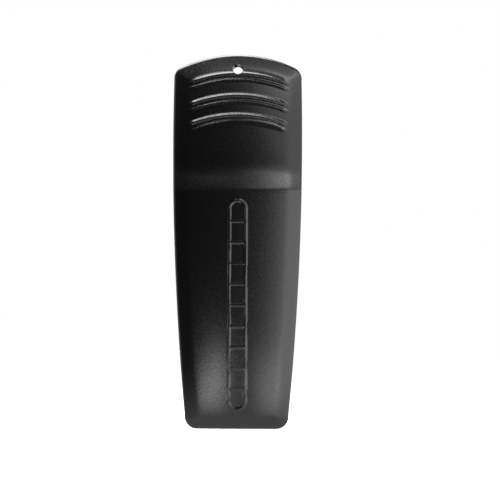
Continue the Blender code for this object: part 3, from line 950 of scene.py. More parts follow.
@dataclass
class ClipLever:
    """The moulded lever: thumb head with ribs and lanyard hole, crease, tongue and cheeks."""

    datum: Datum
    outline: LeverOutline = field(default_factory=LeverOutline)
    section: LeverSection = field(default_factory=LeverSection)
    crown: float = 1.7 * MM
    wall: float = 2.4 * MM
    rim_wall: float = 2.4 * MM
    chamfer_width: float = 2.6 * MM
    chamfer_slope: float = 0.28
    chamfer_soft: float = 0.35 * MM
    edge_round: float = 0.4 * MM
    lip_rear: float = -0.3 * MM
    cheek_rear: float = -2.3 * MM
    crest_heights: tuple[float, ...] = (74.55 * MM, 69.94 * MM, 65.82 * MM)
    crest_half_length: float = 10.3 * MM
    upper_crest: tuple[float, float, float] = (0.0, 0.64 * MM, 0.46 * MM)
    lower_crest: tuple[float, float, float] = (-1.3 * MM, 0.5 * MM, 0.27 * MM)
    panel_half: float = 1.95 * MM
    panel_low: float = 3.9 * MM
    panel_high: float = 48.2 * MM
    panel_line: float = 0.24 * MM
    panel_rise: float = 0.24 * MM
    rung_pitch: float = 4.4 * MM
    lanyard_height: float = 75.5 * MM
    lanyard_radius: float = 1.08 * MM
    pin_bore: float = 1.07 * MM
    pocket_radius: float = 2.05 * MM
    pocket_floor: float = 12.45 * MM
    tongue_rib_x: float = 5.0 * MM
    tongue_rib: tuple[float, ...] = (0.6 * MM, 1.5 * MM, 47.0 * MM, 1.3 * MM)
    leg_x: float = 3.25 * MM
    guide_offset: float = 1.1 * MM
    leg_guide: tuple[float, ...] = (0.4 * MM, 63.5 * MM, 70.5 * MM, 1.0 * MM)
    strip_cuts: int = 24
    strip_sink: float = 0.3 * MM
    crest_fade: float = 0.9 * MM
    edge_insets: tuple[float, ...] = (
        2.3, 2.0, 1.65, 1.3, 1.0, 0.75, 0.55, 0.4, 0.29, 0.2, 0.12, 0.06, 0.02
    )
    rim_round: float = 0.3 * MM
    inner_fillet: float = 0.5 * MM
    bend_span: tuple[float, float] = (50.8 * MM, 61.0 * MM)
    lug_x: tuple[float, float] = (9.0 * MM, 12.0 * MM)
    lug_heights: tuple[float, float] = (45.2 * MM, 48.4 * MM)
    lug_face_height: float = 46.0 * MM
    hole_round: float = 0.4 * MM
    cut_reach: float = 20 * MM

    def thumb_ribs(self, x: np.ndarray, height: np.ndarray) -> np.ndarray:
        """How far the double-crested thumb ribs stand out of the face.

        Args:
            x: The points' x.
            height: The points' heights.

        Returns:
            The rise at each point.
        """
        rise = np.zeros_like(x)
        drop = self.outline.arch_radius - np.sqrt(self.outline.arch_radius**2 - x**2)
        fade_from = self.crest_half_length - self.crest_fade
        ends = 1 - smooth_step(np.abs(x), fade_from, self.crest_half_length)
        for top in self.crest_heights:
            for offset, half_width, crest in (self.upper_crest, self.lower_crest):
                away = np.abs(height - (top + offset - drop)) / half_width
                bump = np.cos(np.clip(away, 0, 1) * math.pi / 2) ** 2
                rise = np.maximum(rise, crest * bump * ends)
        return rise

    def panel_lines(self, x: np.ndarray, height: np.ndarray) -> np.ndarray:
        """How far the plain raised outline and its rungs stand out of the tongue.

        Args:
            x: The points' x.
            height: The points' heights.

        Returns:
            The rise at each point.
        """
        middle = (self.panel_low + self.panel_high) / 2
        reach = (self.panel_high - self.panel_low) / 2 - self.panel_half
        beyond = np.maximum(np.abs(height - middle) - reach, 0)
        away = np.abs(np.hypot(x, beyond) - (self.panel_half - self.panel_line))
        inside = (np.abs(height - middle) < reach + 0.4 * MM) & (np.abs(x) < self.panel_half)
        phase = (height - middle) / self.rung_pitch
        rung = np.abs(phase - np.round(phase)) * self.rung_pitch
        away = np.minimum(away, np.where(inside, rung, np.inf))
        edge = smooth_step(away, self.panel_line * 0.6, self.panel_line * 1.7)
        return self.panel_rise * (1 - edge)

    def front_y(
        self, x: np.ndarray, height: np.ndarray, inset: float | None = None
    ) -> np.ndarray:
        """y of the front skin.

        Args:
            x: The points' x.
            height: The points' heights.
            inset: Their distance from the outline, where they all lie on one ring.

        Returns:
            The points' y.
        """
        gap = self.outline.edge_gap(x, height) if inset is None else inset
        chamfer = self.chamfer_slope * smooth_floor(self.chamfer_width - gap, self.chamfer_soft)
        crown = self.crown * (x / self.outline.widest_half) ** 2
        y = self.section.face(height) + crown + chamfer
        if inset is not None and inset < self.edge_round:
            inward = 1 - inset / self.edge_round
            y = y + self.edge_round * (1 - math.sqrt(max(0.0, 1 - inward**2)))
        return y - self.thumb_ribs(x, height) - self.panel_lines(x, height)

    def rim_y(self, height: np.ndarray) -> np.ndarray:
        """y of the rim's rear edge."""
        return self.section.rim(height, self.cheek_rear, self.lip_rear, self.wall)

    def back_y(self, x: np.ndarray, height: np.ndarray) -> np.ndarray:
        """y of the inner skin."""
        return self.section.face(height) + self.wall + 0 * x

    def strip(
        self, x: float, half_width: float, low: float, high: float, rise: float
    ) -> bpy.types.Object:
        """A low rib on the inner skin that follows the lever's section.

        Args:
            x: The rib's middle.
            half_width: Half its width.
            low: Its lower end's height.
            high: Its upper end's height.
            rise: How far it stands out of the skin.

        Returns:
            The rib, sunk a little in the skin.
        """
        low_corner = (x - half_width, -self.wall, self.datum.z(low))
        made = block("inner_rib", low_corner, (x + half_width, 0.0, self.datum.z(high)))
        points = made.data.vertices

        def upright(edge: bpy.types.MeshEdge) -> bool:
            """Whether an edge runs up the rib."""
            a, b = (points[i].co for i in edge.vertices)
            return abs(a.z - b.z) > (high - low) / 2

        choose(made, "EDGE", upright)
        bpy.ops.mesh.subdivide(number_cuts=self.strip_cuts)
        bpy.ops.object.mode_set(mode="OBJECT")
        places = points_of(made)
        at_back = places[:, 1] > -self.wall / 2
        height = places[:, 2] - self.datum.tip
        skin_y = self.section.face(height) + self.wall
        places[:, 1] = skin_y + np.where(at_back, rise, -self.strip_sink)
        place_points(made, places)
        bevel(made, 0.2 * MM, 3, 60)
        return made

    def inner_ribs(self) -> list[bpy.types.Object]:
        """The tongue's two stiffening ribs and the two guides of the spring's leg."""
        made = []
        for side in Side:
            made.append(self.strip(side.value * self.tongue_rib_x, *self.tongue_rib))
            made.append(self.strip(self.leg_x + side.value * self.guide_offset, *self.leg_guide))
        return made

    def skin(self, name: str, inset: float, depth: DepthField) -> bpy.types.Object:
        """A grid fitted inside the outline, its rows bending up to meet the arch.

        Args:
            name: The piece's name.
            inset: How far its border is from the outline.
            depth: Gives y from x and height.

        Returns:
            The grid, whose border points carry their place round the ring.
        """
        outline = self.outline
        half = outline.half_ring(inset)
        across = outline.columns_middle + outline.columns_outer
        ends = half[across : len(half) - across]
        columns, rows = 2 * across, len(ends) - 1
        start_clean()
        bpy.ops.mesh.primitive_grid_add(x_subdivisions=columns, y_subdivisions=rows, size=2)
        piece = named(name)
        grid = points_of(piece)
        column = np.rint((grid[:, 0] + 1) / 2 * columns).astype(int)
        row = np.rint((grid[:, 1] + 1) / 2 * rows).astype(int)
        shares = outline.column_shares()
        shares = np.concatenate([-shares[:0:-1], shares])[column]
        end_x, end_height = ends[row, 0], ends[row, 1]
        x = shares * end_x
        radius = outline.arch_radius - inset
        bend = smooth_step(end_height, *self.bend_span)
        rise = np.sqrt(radius**2 - x**2) - np.sqrt(radius**2 - end_x**2)
        height = end_height + bend * rise
        place_points(piece, np.column_stack([x, depth(x, height), self.datum.tip + height]))
        count = 2 * (columns + rows)
        ring = np.full(len(grid), -1)
        ring = np.where(row == 0, (column - across) % count, ring)
        ring = np.where((column == columns) & (row > 0), across + row, ring)
        ring = np.where((column == 0) & (row > 0), count - across - row, ring)
        top = (row == rows) & (column > 0) & (column < columns)
        ring = np.where(top, across + rows + columns - column, ring)
        layer = piece.data.attributes.new(RING, "INT", "POINT")
        layer.data.foreach_set("value", ring.astype(np.int32))
        return piece

    def rings(self) -> list[Places]:
        """The rings that carry the skin round the edge, down the wall, over the rim and in.

        Returns:
            Each ring's points, in the order of the outline.
        """
        made = []

        def add(inset: float, y: np.ndarray) -> None:
            """Adds the ring at an inset, at the y values given."""
            x, height = self.outline.full_ring(inset).T
            made.append(np.column_stack([x, y, self.datum.tip + height]))

        for inset in np.array(self.edge_insets) * MM:
            x, height = self.outline.full_ring(inset).T
            add(inset, self.front_y(x, height, inset))
        x, height = self.outline.full_ring(0.0).T
        front, rear = self.front_y(x, height, 0.0), self.rim_y(height)
        wall_end = rear - self.rim_round
        for share in (0.0, 0.2, 0.4, 0.6, 0.8, 1.0):
            add(0.0, front + (wall_end - front) * share)
        for degrees in (30, 60, 90):
            across, back = rounding(self.rim_round, degrees)
            add(across, rear - back)
        for degrees in (90, 60, 30, 0):
            across, back = rounding(self.rim_round, degrees)
            add(self.rim_wall - across, rear - back)
        x, height = self.outline.full_ring(self.rim_wall).T
        inner = self.back_y(x, height)
        for share in (0.33, 0.66, 1.0):
            add(self.rim_wall, wall_end + (inner + self.inner_fillet - wall_end) * share)
        for degrees in (30, 60):
            across, back = rounding(self.inner_fillet, degrees)
            add(self.rim_wall + across, inner + back)
        return made

    def extrude_ring(self, piece: bpy.types.Object, places: Places) -> None:
        """Extrudes a skin's open border once and places the new points.

        Args:
            piece: The skin, with its border selected.
            places: Where the new border goes, in ring order.
        """
        before = len(piece.data.vertices)
        bpy.ops.object.mode_set(mode="EDIT")
        bpy.ops.mesh.extrude_region_move(TRANSFORM_OT_translate={"value": (0, 0, 0)})
        bpy.ops.object.mode_set(mode="OBJECT")
        ring = np.empty(len(piece.data.vertices), np.int32)
        piece.data.attributes[RING].data.foreach_get("value", ring)
        moved = points_of(piece)
        moved[before:] = places[ring[before:]]
        place_points(piece, moved)

    def shell(self) -> bpy.types.Object:
        """The lever's closed shell, without its holes."""
        inner_border = self.rim_wall + self.inner_fillet
        front = self.skin("clip_lever_moulding", self.chamfer_width, self.front_y)
        back = self.skin("clip_lever_back", inner_border, self.back_y)
        pick(front)
        bpy.ops.object.mode_set(mode="EDIT")
        bpy.ops.mesh.select_mode(type="EDGE")
        bpy.ops.mesh.select_all(action="SELECT")
        bpy.ops.mesh.region_to_loop()
        bpy.ops.object.mode_set(mode="OBJECT")
        for places in self.rings():
            self.extrude_ring(front, places)
        x, height = self.outline.full_ring(inner_border).T
        last = np.column_stack([x, self.back_y(x, height), self.datum.tip + height])
        self.extrude_ring(front, last)
        pick(front)
        back.select_set(True)
        bpy.ops.object.join()
        close_up(front, 0.004 * MM)
        return front

    def stop_lugs(self) -> list[bpy.types.Object]:
        """The lugs inside the cheeks that stop the closed lever on the base plate."""
        lugs = []
        front = self.section.face(self.lug_face_height) + self.wall - 0.1 * MM
        low, high = (self.datum.z(height) for height in self.lug_heights)
        for side in Side:
            inner, outer = sorted(side.value * x for x in self.lug_x)
            rear = self.cheek_rear - 0.3 * MM
            lug = block(f"lug_{side.name.lower()}", (inner, front, low), (outer, rear, high))
            apply(lug, "BEVEL", width=0.3 * MM, segments=3, limit_method="NONE")
            lugs.append(lug)
        return lugs

    def hole_tools(self) -> list[bpy.types.Object]:
        """The cutters of the lanyard hole, the pin's bore and its two pockets."""
        section, rise, r = self.section, self.hole_round, self.lanyard_radius
        above = self.lanyard_height - section.crease_height
        axis = Vector((0, 1, -section.head_slope - section.head_curve * above)).normalized()
        mouth_y = float(section.face(self.lanyard_height))
        mouth = Vector((0, mouth_y, self.datum.z(self.lanyard_height)))
        profile = [(-3 * MM, 0.0), (-3 * MM, r + 0.5 * MM), (-rise, r + 0.22 * MM)]
        profile += [(rise * 0.4, r), (self.wall - rise, r), (self.wall + 0.1 * MM, r + 0.35 * MM)]
        profile += [(self.wall + 2 * MM, r + 0.5 * MM), (self.wall + 2 * MM, 0.0)]
        tools = [turned("cut_lanyard_hole", profile, mouth, axis)]
        end = self.cut_reach
        ends = self.datum.hinge(-end), self.datum.hinge(end)
        tools.append(barrel("cut_pin_bore", self.pin_bore, *ends))
        floor, edge = self.pocket_floor, self.outline.widest_half
        r, wide = self.pocket_radius, self.pocket_radius + 0.4 * MM
        profile = [(floor, 0.0), (floor, r), (edge - 0.25 * MM, r), (edge + 0.15 * MM, wide)]
        profile += [(end, wide), (end, 0.0)]
        for side in Side:
            name, out = f"cut_pocket_{side.name.lower()}", Vector((side.value, 0, 0))
            tools.append(turned(name, profile, self.datum.hinge(0), out))
        return tools

    def wear(self, piece: bpy.types.Object) -> np.ndarray:
        """How rubbed each point of the lever is: rib crests, crease, outer edge and tip."""
        x, _, z = points_of(piece).T
        height = z - self.datum.tip
        gap = self.outline.edge_gap(x, height)
        edge = 0.55 * (1 - smooth_step(gap, 0.15 * MM, 1.0 * MM))
        ribs = self.thumb_ribs(x, height) / self.upper_crest[2]
        from_crease = np.abs(height - self.section.crease_height)
        crease = 1 - smooth_step(from_crease, 0.1 * MM, 0.6 * MM)
        lines = self.panel_lines(x, height) / self.panel_rise
        return np.maximum.reduce([edge, 0.85 * ribs, 0.5 * crease, 0.45 * lines])

    def build(self, wardrobe: Wardrobe) -> list[bpy.types.Object]:
        """Models, dresses and hangs the lever.

        Args:
            wardrobe: Where its finish comes from.

        Returns:
            The lever's one piece.
        """
        piece = self.shell()
        combine(piece, self.inner_ribs() + self.stop_lugs(), Join.ADD)
        combine(piece, self.hole_tools(), Join.CUT)
        mark_wear(piece, self.wear(piece))
        piece.data.attributes.remove(piece.data.attributes[RING])
        shade(piece, 40)
        wardrobe.dress(piece, LEVER_BLACK)
        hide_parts("clip_lever")
        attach(piece, "lever")
        return [piece]


# The base ------------------------------------------------------------------------------


@dataclass
class BasePlate:
    """The moulded rear half: plate, hinge ears, slide rails, latch window and leg guides."""

    datum: Datum
    half: float = 10.7 * MM
    low: float = 37.0 * MM
    high: float = 70.5 * MM
    thick: float = 2.2 * MM
    corner: float = 2.5 * MM
    ear_thick: float = 2.2 * MM
    ear_radius: float = 3.0 * MM
    ear_foot: float = 5.6 * MM
    neck: tuple[float, float] = (4.9 * MM, 6.6 * MM)
    flange_outer: float = 8.4 * MM
    neck_rear: float = 1.5 * MM
    rail_rear: float = 2.9 * MM
    rail_half: float = 8.0 * MM
    window: tuple[float, float, float] = (3.9 * MM, 38.3 * MM, 43.2 * MM)
    bore: float = 1.06 * MM
    rivet_x: float = 2.2 * MM
    rivet_bore: float = 0.66 * MM
    rivet_pocket: float = 1.3 * MM
    rivet_floor: float = 0.8 * MM
    lead_in: tuple[float, float] = (1.0 * MM, 0.6 * MM)
    leg_x: float = -3.25 * MM
    guide: tuple[float, float, float, float] = (0.3 * MM, 0.6 * MM, 62.5 * MM, 69.6 * MM)
    guide_gap: float = 1.0 * MM
    mark_x: float = 7.6 * MM
    mark_heights: tuple[float, float] = (40.4 * MM, 66.6 * MM)
    mark: tuple[float, float] = (1.5 * MM, 0.12 * MM)
    sink: tuple[float, float, float, float] = (3.4 * MM, 0.7 * MM, 56.6 * MM, 67.6 * MM)

    def plate(self) -> bpy.types.Object:
        """The flat plate with its upright corners rounded."""
        low = (-self.half, -self.thick, self.datum.z(self.low))
        high = (self.half, 0.0, self.datum.z(self.high))
        piece = block("base_plate_moulding", low, high)
        points = piece.data.vertices

        def upright(edge: bpy.types.MeshEdge) -> bool:
            """Whether an edge runs from the front of the plate to its rear."""
            a, b = (points[i].co for i in edge.vertices)
            return abs(a.y - b.y) > self.thick / 2

        choose(piece, "EDGE", upright)
        bpy.ops.mesh.bevel(offset=self.corner, segments=10, affect="EDGES")
        bpy.ops.object.mode_set(mode="OBJECT")
        return piece

    def ear(self, side: Side) -> bpy.types.Object:
        """One hinge ear: a round lobe on the pin's line that widens into the plate.

        Args:
            side: Which ear.

        Returns:
            The ear's solid.
        """
        reach = (self.half - self.ear_thick, self.half - 0.02 * MM)
        inner, outer = sorted(side.value * x for x in reach)
        ends = self.datum.hinge(inner), self.datum.hinge(outer)
        lobe = barrel(f"ear_{side.name.lower()}", self.ear_radius, *ends, 64)
        foot_low = (inner, self.datum.hinge_y, self.datum.hinge_z - self.ear_radius)
        foot_high = (outer, -self.thick / 2, self.datum.hinge_z + self.ear_radius)
        foot = block("ear_foot", foot_low, foot_high)
        points = points_of(foot)
        rear = points[:, 1] > -self.thick
        reach = np.where(points[:, 2] > self.datum.hinge_z, self.ear_foot, -self.ear_foot)
        points[:, 2] = np.where(rear, self.datum.hinge_z + reach, points[:, 2])
        place_points(foot, points)
        combine(lobe, [foot], Join.ADD)
        return lobe

    def rail(self, side: Side) -> bpy.types.Object:
        """One slide rail, its flange extruded sideways from its neck.

        Args:
            side: Which rail.

        Returns:
            The rail's solid.
        """
        middle = (self.neck[0] + self.neck[1]) / 2
        inner, outer = sorted(side.value * x for x in self.neck)
        low = (inner, -self.thick / 2, -self.rail_half)
        rail = block(f"rail_{side.name.lower()}", low, (outer, self.neck_rear, self.rail_half))

        def rear(face: bpy.types.MeshPolygon) -> bool:
            """Whether a face looks to the rear."""
            return face.normal.y > 0.9

        def outward(face: bpy.types.MeshPolygon) -> bool:
            """Whether a face is the outer one of the flange."""
            at_flange = face.center.y > self.neck_rear and abs(face.center.x) > middle
            return at_flange and face.normal.x * side.value > 0.9

        flange = side.value * (self.flange_outer - self.neck[1])
        moves = ((rear, (0, self.rail_rear - self.neck_rear, 0)), (outward, (flange, 0, 0)))
        for chosen, move in moves:
            choose(rail, "FACE", chosen)
            bpy.ops.mesh.extrude_region_move(TRANSFORM_OT_translate={"value": move})
            bpy.ops.object.mode_set(mode="OBJECT")
        points = points_of(rail)
        lead = (points[:, 2] < 0) & (points[:, 1] > self.neck_rear - 1e-6)
        on_flange = np.abs(points[:, 0]) > middle + 1 * MM
        on_rear = points[:, 1] > self.rail_rear - 1e-6
        points[:, 2] += np.where(lead & on_flange, self.lead_in[0], 0.0)
        points[:, 2] += np.where(lead & on_rear, self.lead_in[1], 0.0)
        place_points(rail, points)
        return rail

    def guides(self) -> list[bpy.types.Object]:
        """The two low walls that keep the spring's rear leg in line."""
        made = []
        half, rise, low, high = self.guide
        for side in Side:
            x = self.leg_x + side.value * self.guide_gap
            start = (x - half, -self.thick - rise, self.datum.z(low))
            made.append(block("leg_guide", start, (x + half, -self.thick / 2, self.datum.z(high))))
        return made

    def holes(self) -> list[bpy.types.Object]:
        """The cutters of the latch window, the pin's bore and the rivets' holes."""
        half, low, high = self.window
        corners = (-half, -6 * MM, self.datum.z(low)), (half, 4 * MM, self.datum.z(high))
        ends = self.datum.hinge(-20 * MM), self.datum.hinge(20 * MM)
        tools = [block("cut_window", *corners), barrel("cut_bore", self.bore, *ends)]
        for side in Side:
            x, z = side.value * self.rivet_x, self.datum.latch_z
            rear = Vector((x, 5 * MM, z))
            floor = Vector((x, -self.rivet_floor, z))
            tools.append(barrel("cut_rivet", self.rivet_bore, Vector((x, -5 * MM, z)), rear))
            tools.append(barrel("cut_head", self.rivet_pocket, floor, rear))
        return tools

    def relief(self) -> list[bpy.types.Object]:
        """Cutters of the shallow sink pocket and ejector marks on the rear face."""
        tools = []
        radius, depth = self.mark
        for side in Side:
            for height in self.mark_heights:
                x, z = side.value * self.mark_x, self.datum.z(height)
                ends = Vector((x, -depth, z)), Vector((x, 2 * MM, z))
                tools.append(barrel("cut_mark", radius, *ends, 32))
        half, depth, low, high = self.sink
        corners = (-half, -depth, self.datum.z(low)), (half, 2 * MM, self.datum.z(high))
        pocket = block("cut_pocket", *corners)
        apply(pocket, "BEVEL", width=0.6 * MM, segments=4, limit_method="NONE")
        return tools + [pocket]

    def build(self, wardrobe: Wardrobe) -> list[bpy.types.Object]:
        """Models, dresses and hangs the base plate.

        Args:
            wardrobe: Where its finish comes from.

        Returns:
            The plate's one piece.
        """
        piece = self.plate()
        ears = [self.ear(side) for side in Side]
        rails = [self.rail(side) for side in Side]
        combine(piece, ears + rails + self.guides(), Join.ADD)
        combine(piece, self.holes() + self.relief(), Join.CUT)
        close_up(piece, 0.002 * MM)
        bevel(piece, 0.16 * MM, 2, 35, miter_outer="MITER_ARC")
        shade(piece)
        mark_edges(piece, 0.9 * MM)
        wardrobe.dress(piece, BASE_BLACK)
        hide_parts("base_plate")
        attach(piece, "base")
        return [piece]


# The hinge -----------------------------------------------------------------------------


@dataclass
class HingeSet:
    """The headed pin, the push-on ring that keeps it, and the sleeve under the coil."""

    datum: Datum
    pin_radius: float = 1.0 * MM
    pin_end: float = 13.2 * MM
    head_radius: float = 1.75 * MM
    head_thick: float = 0.6 * MM
    ring_inner: float = 12.55 * MM
    ring_thick: float = 0.4 * MM
    ring_radius: float = 1.85 * MM
    ring_bore: float = 1.06 * MM
    sleeve_half: float = 8.35 * MM
    sleeve_radius: float = 1.8 * MM
    sleeve_bore: float = 1.07 * MM

    def pin(self) -> bpy.types.Object:
        """The pin, with a low domed head on the left and a chamfered end on the right."""
        end, wide, slim = self.pin_end, self.head_radius, self.pin_radius
        shoulder = -end + self.head_thick
        turns = np.radians((0, 18, 36, 54, 72, 90))
        dome = [(-end + 0.22 * MM * (1 - math.cos(a)), wide * math.sin(a) * 0.97) for a in turns]
        profile = dome + [(-end + self.head_thick * 0.55, wide), (shoulder, wide - 0.06 * MM)]
        profile += [(shoulder, slim), (end - 0.25 * MM, slim), (end, slim - 0.25 * MM)]
        profile += [(end - 0.05 * MM, 0.3 * MM), (end - 0.12 * MM, 0.0)]
        return turned("hinge_pin_turned", profile, self.datum.hinge(0), ALONG_PIN, 64)

    def ring(self) -> bpy.types.Object:
        """The dished push-on ring, slotted into gripping teeth."""
        inner, outer = self.ring_inner, self.ring_inner + self.ring_thick
        bore, wide = self.ring_bore, self.ring_radius
        profile = [(inner + 0.12 * MM, bore), (inner, wide - 0.55 * MM), (inner, wide - 0.1 * MM)]
        profile += [(inner + 0.1 * MM, wide), (outer - 0.18 * MM, wide)]
        profile += [(outer - 0.1 * MM, wide - 0.1 * MM), (outer - 0.1 * MM, wide - 0.55 * MM)]
        profile += [(outer, bore)]
        piece = turned("retaining_ring_stamped", profile, self.datum.hinge(0), ALONG_PIN, 60)
        slots = []
        for degrees in range(15, 375, 60):
            angle = math.radians(degrees)
            out = Vector((0, math.cos(angle), math.sin(angle)))
            start = self.datum.hinge(inner - 1 * MM) + out * (bore + 0.12 * MM)
            slots.append(barrel("cut_slot", 0.17 * MM, start, start + ALONG_PIN * 3 * MM, 12))
        combine(piece, slots, Join.CUT)
        return piece

    def sleeve(self) -> bpy.types.Object:
        """The plain sleeve on the pin, with rounded ends."""
        end, outer = self.sleeve_half, self.sleeve_radius
        corner = [(end - 0.2 * MM, outer), (end - 0.06 * MM, outer - 0.06 * MM)]
        corner += [(end, outer - 0.2 * MM), (end, self.sleeve_bore)]
        profile = [(-along, radius) for along, radius in reversed(corner)] + corner
        return turned("spring_sleeve_turned", profile, self.datum.hinge(0), ALONG_PIN, 48)

    def build(self, wardrobe: Wardrobe) -> list[bpy.types.Object]:
        """Models, dresses and hangs the pin, the ring and the sleeve.

        Args:
            wardrobe: Where their finishes come from.

        Returns:
            The three pieces.
        """
        pieces = [self.pin(), self.ring(), self.sleeve()]
        nodes = ("hinge_pin", "retaining_ring", "spring_sleeve")
        finishes = (PIN_STEEL, SPRING_STEEL, SLEEVE_NATURAL)
        for piece, node, finish in zip(pieces, nodes, finishes):
            shade(piece)
            mark_edges(piece, 0.3 * MM)
            wardrobe.dress(piece, finish)
            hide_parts(node)
            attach(piece, "base")
        return pieces


@dataclass
class TorsionSpring:
    """The coil on the sleeve, one leg held by the base and the other by the lever."""

    datum: Datum
    wire: float = 0.9 * MM
    coil_radius: float = 2.55 * MM
    pitch: float = 1.0 * MM
    turns: float = 6.5
    base_leg: tuple[float, float] = (-2.75 * MM, 68.5 * MM)
    lever_leg_height: float = 68.0 * MM
    lever_skin: float = 2.4 * MM
    leg_gap: float = 0.1 * MM
    steps_a_turn: int = 36
    rear_drops: tuple[float, ...] = (0.0, 0.8, 1.6, 2.8, 4.0, 5.6, 7.2, 8.8)
    front_rises: tuple[float, ...] = (1.4, 3.0, 4.6, 6.2, 7.8, 9.2, 10.2, 11.0)

    def route(self) -> list[Vector]:
        """The wire's middle line: rear leg down, round the coil, front leg up."""
        half, radius = self.pitch * self.turns / 2, self.coil_radius
        hinge_y, hinge_z = self.datum.hinge_y, self.datum.hinge_z
        base_y, base_height = self.base_leg
        places = []
        for drop in self.rear_drops:
            share = float(smooth_step(drop, 2.0, 10.4))
            y = base_y + (hinge_y + radius - base_y) * share
            places.append(Vector((-half, y, self.datum.z(base_height - drop * MM))))
        steps = round(self.turns * self.steps_a_turn)
        for i in range(steps + 1):
            turn = -2 * math.pi * self.turns * i / steps
            y, z = hinge_y + radius * math.cos(turn), hinge_z + radius * math.sin(turn)
            places.append(Vector((-half + 2 * half * i / steps, y, z)))
        skin = float(LeverSection().face(self.lever_leg_height)) + self.lever_skin
        reach = skin + self.wire / 2 + self.leg_gap - (hinge_y - radius)
        top = self.front_rises[-1]
        for rise in self.front_rises:
            share = float(smooth_step(rise, 0.0, top)) * 0.6 + 0.4 * rise / top
            places.append(Vector((half, hinge_y - radius + reach * share, hinge_z + rise * MM)))
        return places

    def build(self, wardrobe: Wardrobe) -> list[bpy.types.Object]:
        """Models and dresses the spring, whose coil runs between its two legs.

        Args:
            wardrobe: Where its finish comes from.

        Returns:
            The spring's one piece.
        """
        route = self.route()
        start_clean()
        bpy.ops.curve.primitive_nurbs_path_add()
        wire = bpy.context.active_object
        wire.data.splines.clear()
        spline = wire.data.splines.new("POLY")
        spline.points.add(len(route) - 1)
        for point, place in zip(spline.points, route):
            point.co = (*place, 1.0)
        wire.data.dimensions = "3D"
        wire.data.bevel_depth = self.wire / 2
        wire.data.bevel_resolution = 4
        wire.data.use_fill_caps = True
        wire.location = (0, 0, 0)
        bpy.ops.object.convert(target="MESH")
        piece = named("torsion_spring_wound")
        close_up(piece)
        shade(piece, 50)
        mark_wear(piece, np.full(len(piece.data.vertices), 0.3))
        wardrobe.dress(piece, SPRING_STEEL)
        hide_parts("torsion_spring")
        half = self.pitch * self.turns / 2
        self.datum.hinge(-half)
        self.datum.hinge(half)
        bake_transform(piece)
        return [piece]


# The latch -----------------------------------------------------------------------------


